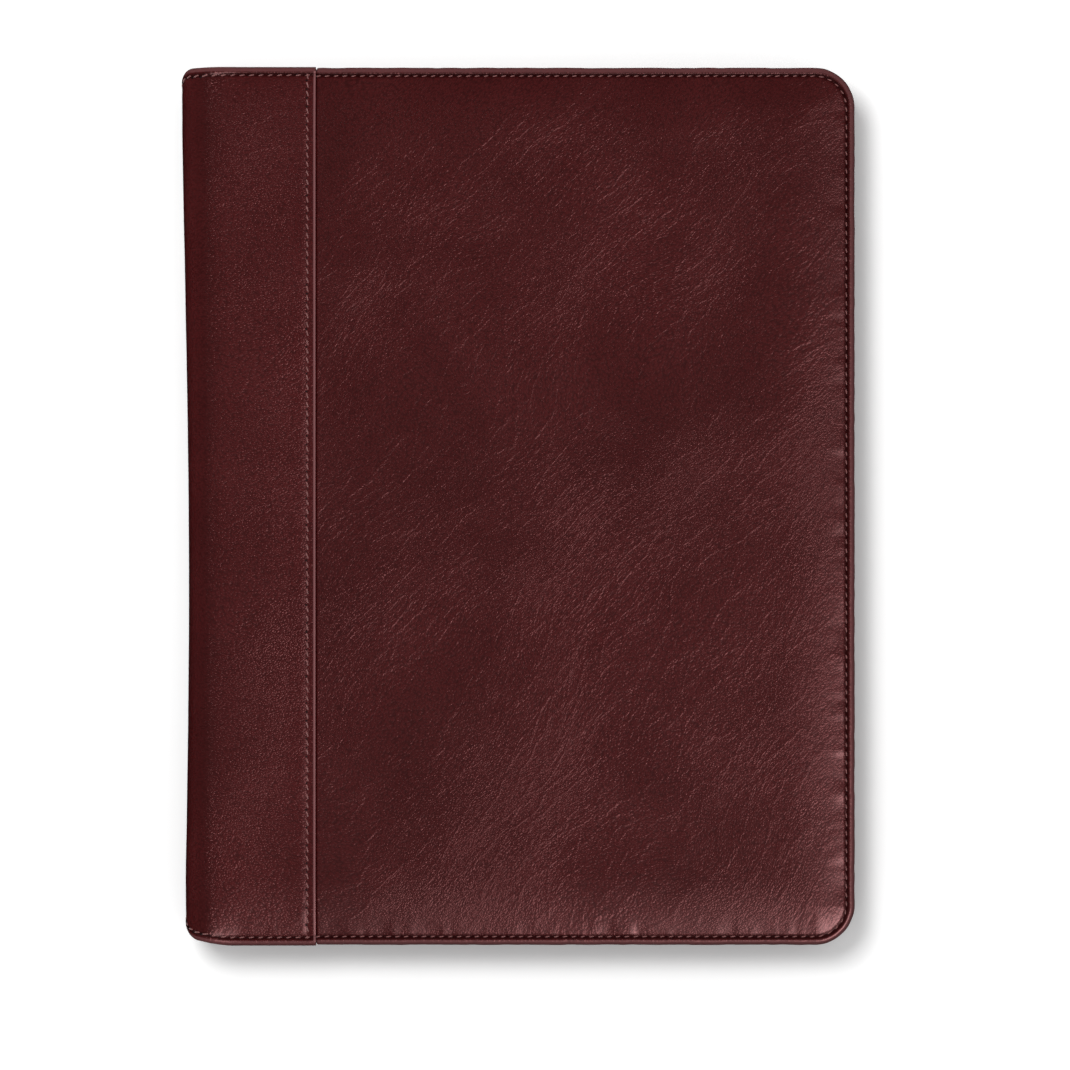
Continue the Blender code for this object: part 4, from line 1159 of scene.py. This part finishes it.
def pen_loop():
    """One strap: a tab on the lining, then round the pen and back down on to the tab."""
    low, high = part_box("pen_loop")
    half, outer, radius, wound = 21.0 * MM, 5.6 * MM, 5.15 * MM, 1.84 * math.pi
    centre_x, centre_z = low.x + outer, high.z - outer
    tab = high.x - centre_x

    def place(along, y, depth):
        angle = np.clip((along - tab) / radius, 0, wound)
        out = radius + depth
        x = np.where(along < tab, high.x - np.minimum(along, tab), centre_x - out * np.sin(angle))
        return x, y, np.where(along < tab, centre_z - out, centre_z - out * np.cos(angle))

    length = tab + wound * radius
    faces = level(-0.4 * MM), level(0.4 * MM)
    sides = (0.0, length, -half, half)
    made = leaf("pen_loop_strap", sides, *faces, POCKET_FINISH, place, step=0.9 * MM, margin=0.2 * MM)
    stand_for(made, "pocket_leather", "pen_loop", carrier="back_cover")


pen_loop()

# ---- the pad

FACES = level(PAD_LOW.z), level(PAD_HIGH.z)
SHAPE = {"step": 6 * MM, "margin": 0.04 * MM}
SHEETS = leaf("pad_sheet_block", box_sides("pad_sheets"), *FACES, PAPER_FINISH, in_cover("back"), **SHAPE)
stand_for(SHEETS, "paper", "pad_sheets", carrier="writing_pad")

for NAME, FINISH in (
    ("front_board", BOARD_FINISH),
    ("back_board", BOARD_FINISH),
    ("pad_backing_card", CARD_FINISH),
    ("pad_binding_tape", TAPE_FINISH),
    ("pad_staple_left", STEEL_FINISH),
    ("pad_staple_right", STEEL_FINISH),
):
    for MATERIAL_SLOT in bpy.data.objects[NAME].material_slots:
        MATERIAL_SLOT.material = FINISH

# ---- floor, light and camera


def area_light(name, place, size, power, colour=(1.0, 1.0, 1.0), glossy=True, diffuse=True):
    light = bpy.data.lights.new(name, "AREA")
    light.shape = "RECTANGLE"
    light.size, light.size_y = size
    light.energy = power
    light.color = colour
    made = in_scene(name, light)
    made.location = place
    made.rotation_euler = (-Vector(place)).to_track_quat("-Z", "Y").to_euler()
    made.visible_camera = False
    made.visible_glossy = glossy
    made.visible_diffuse = diffuse


def build_stage():
    half, low = 3.0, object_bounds()[0].z
    mesh = bpy.data.meshes.new("floor")
    corners = [(-half, -half, low), (half, -half, low), (half, half, low), (-half, half, low)]
    mesh.from_pydata(corners, [], [(0, 1, 2, 3)])
    floor = in_scene("floor", mesh)
    pale = {"Base_Color": (0.93, 0.93, 0.93, 1.0), "Roughness": 0.9, "Specular_IOR_Level": 0.0}
    mesh.materials.append(new_finish("pale_floor", **pale)[0])
    floor.visible_glossy = False
    world = bpy.data.worlds.new("studio")
    world.use_nodes = True
    sky = world.node_tree.nodes["Background"].inputs
    sky["Color"].default_value, sky["Strength"].default_value = (1.0, 1.0, 1.0, 1.0), 0.74
    world.cycles_visibility.glossy = False
    bpy.context.scene.world = world
    area_light("key", (-0.6, 0.7, 2.1), (0.8, 0.8), 33.0, glossy=False)
    rose = (1.0, 0.54, 0.54)
    area_light("right_panel", (1.48, -0.95, 2.1), (0.8, 0.8), 33.0, colour=rose, diffuse=False)
    area_light("low_panel", (0.9, -1.56, 2.1), (0.8, 0.8), 38.0, colour=rose, diffuse=False)
    bpy.context.scene.view_settings.view_transform = "Standard"


def build_camera():
    """A long lens straight above the cover, a little off its middle."""
    camera = bpy.data.cameras.new("camera")
    camera.lens = 200.0
    camera.sensor_width = 36.0
    camera.clip_end = 20.0
    view_width = 1.587 * (FORE_X - SPINE_X)
    made = in_scene("camera", camera)
    made.location = (6.1 * MM, -10.4 * MM, TOP + view_width * camera.lens / camera.sensor_width)
    bpy.context.scene.camera = made


build_stage()
build_camera()
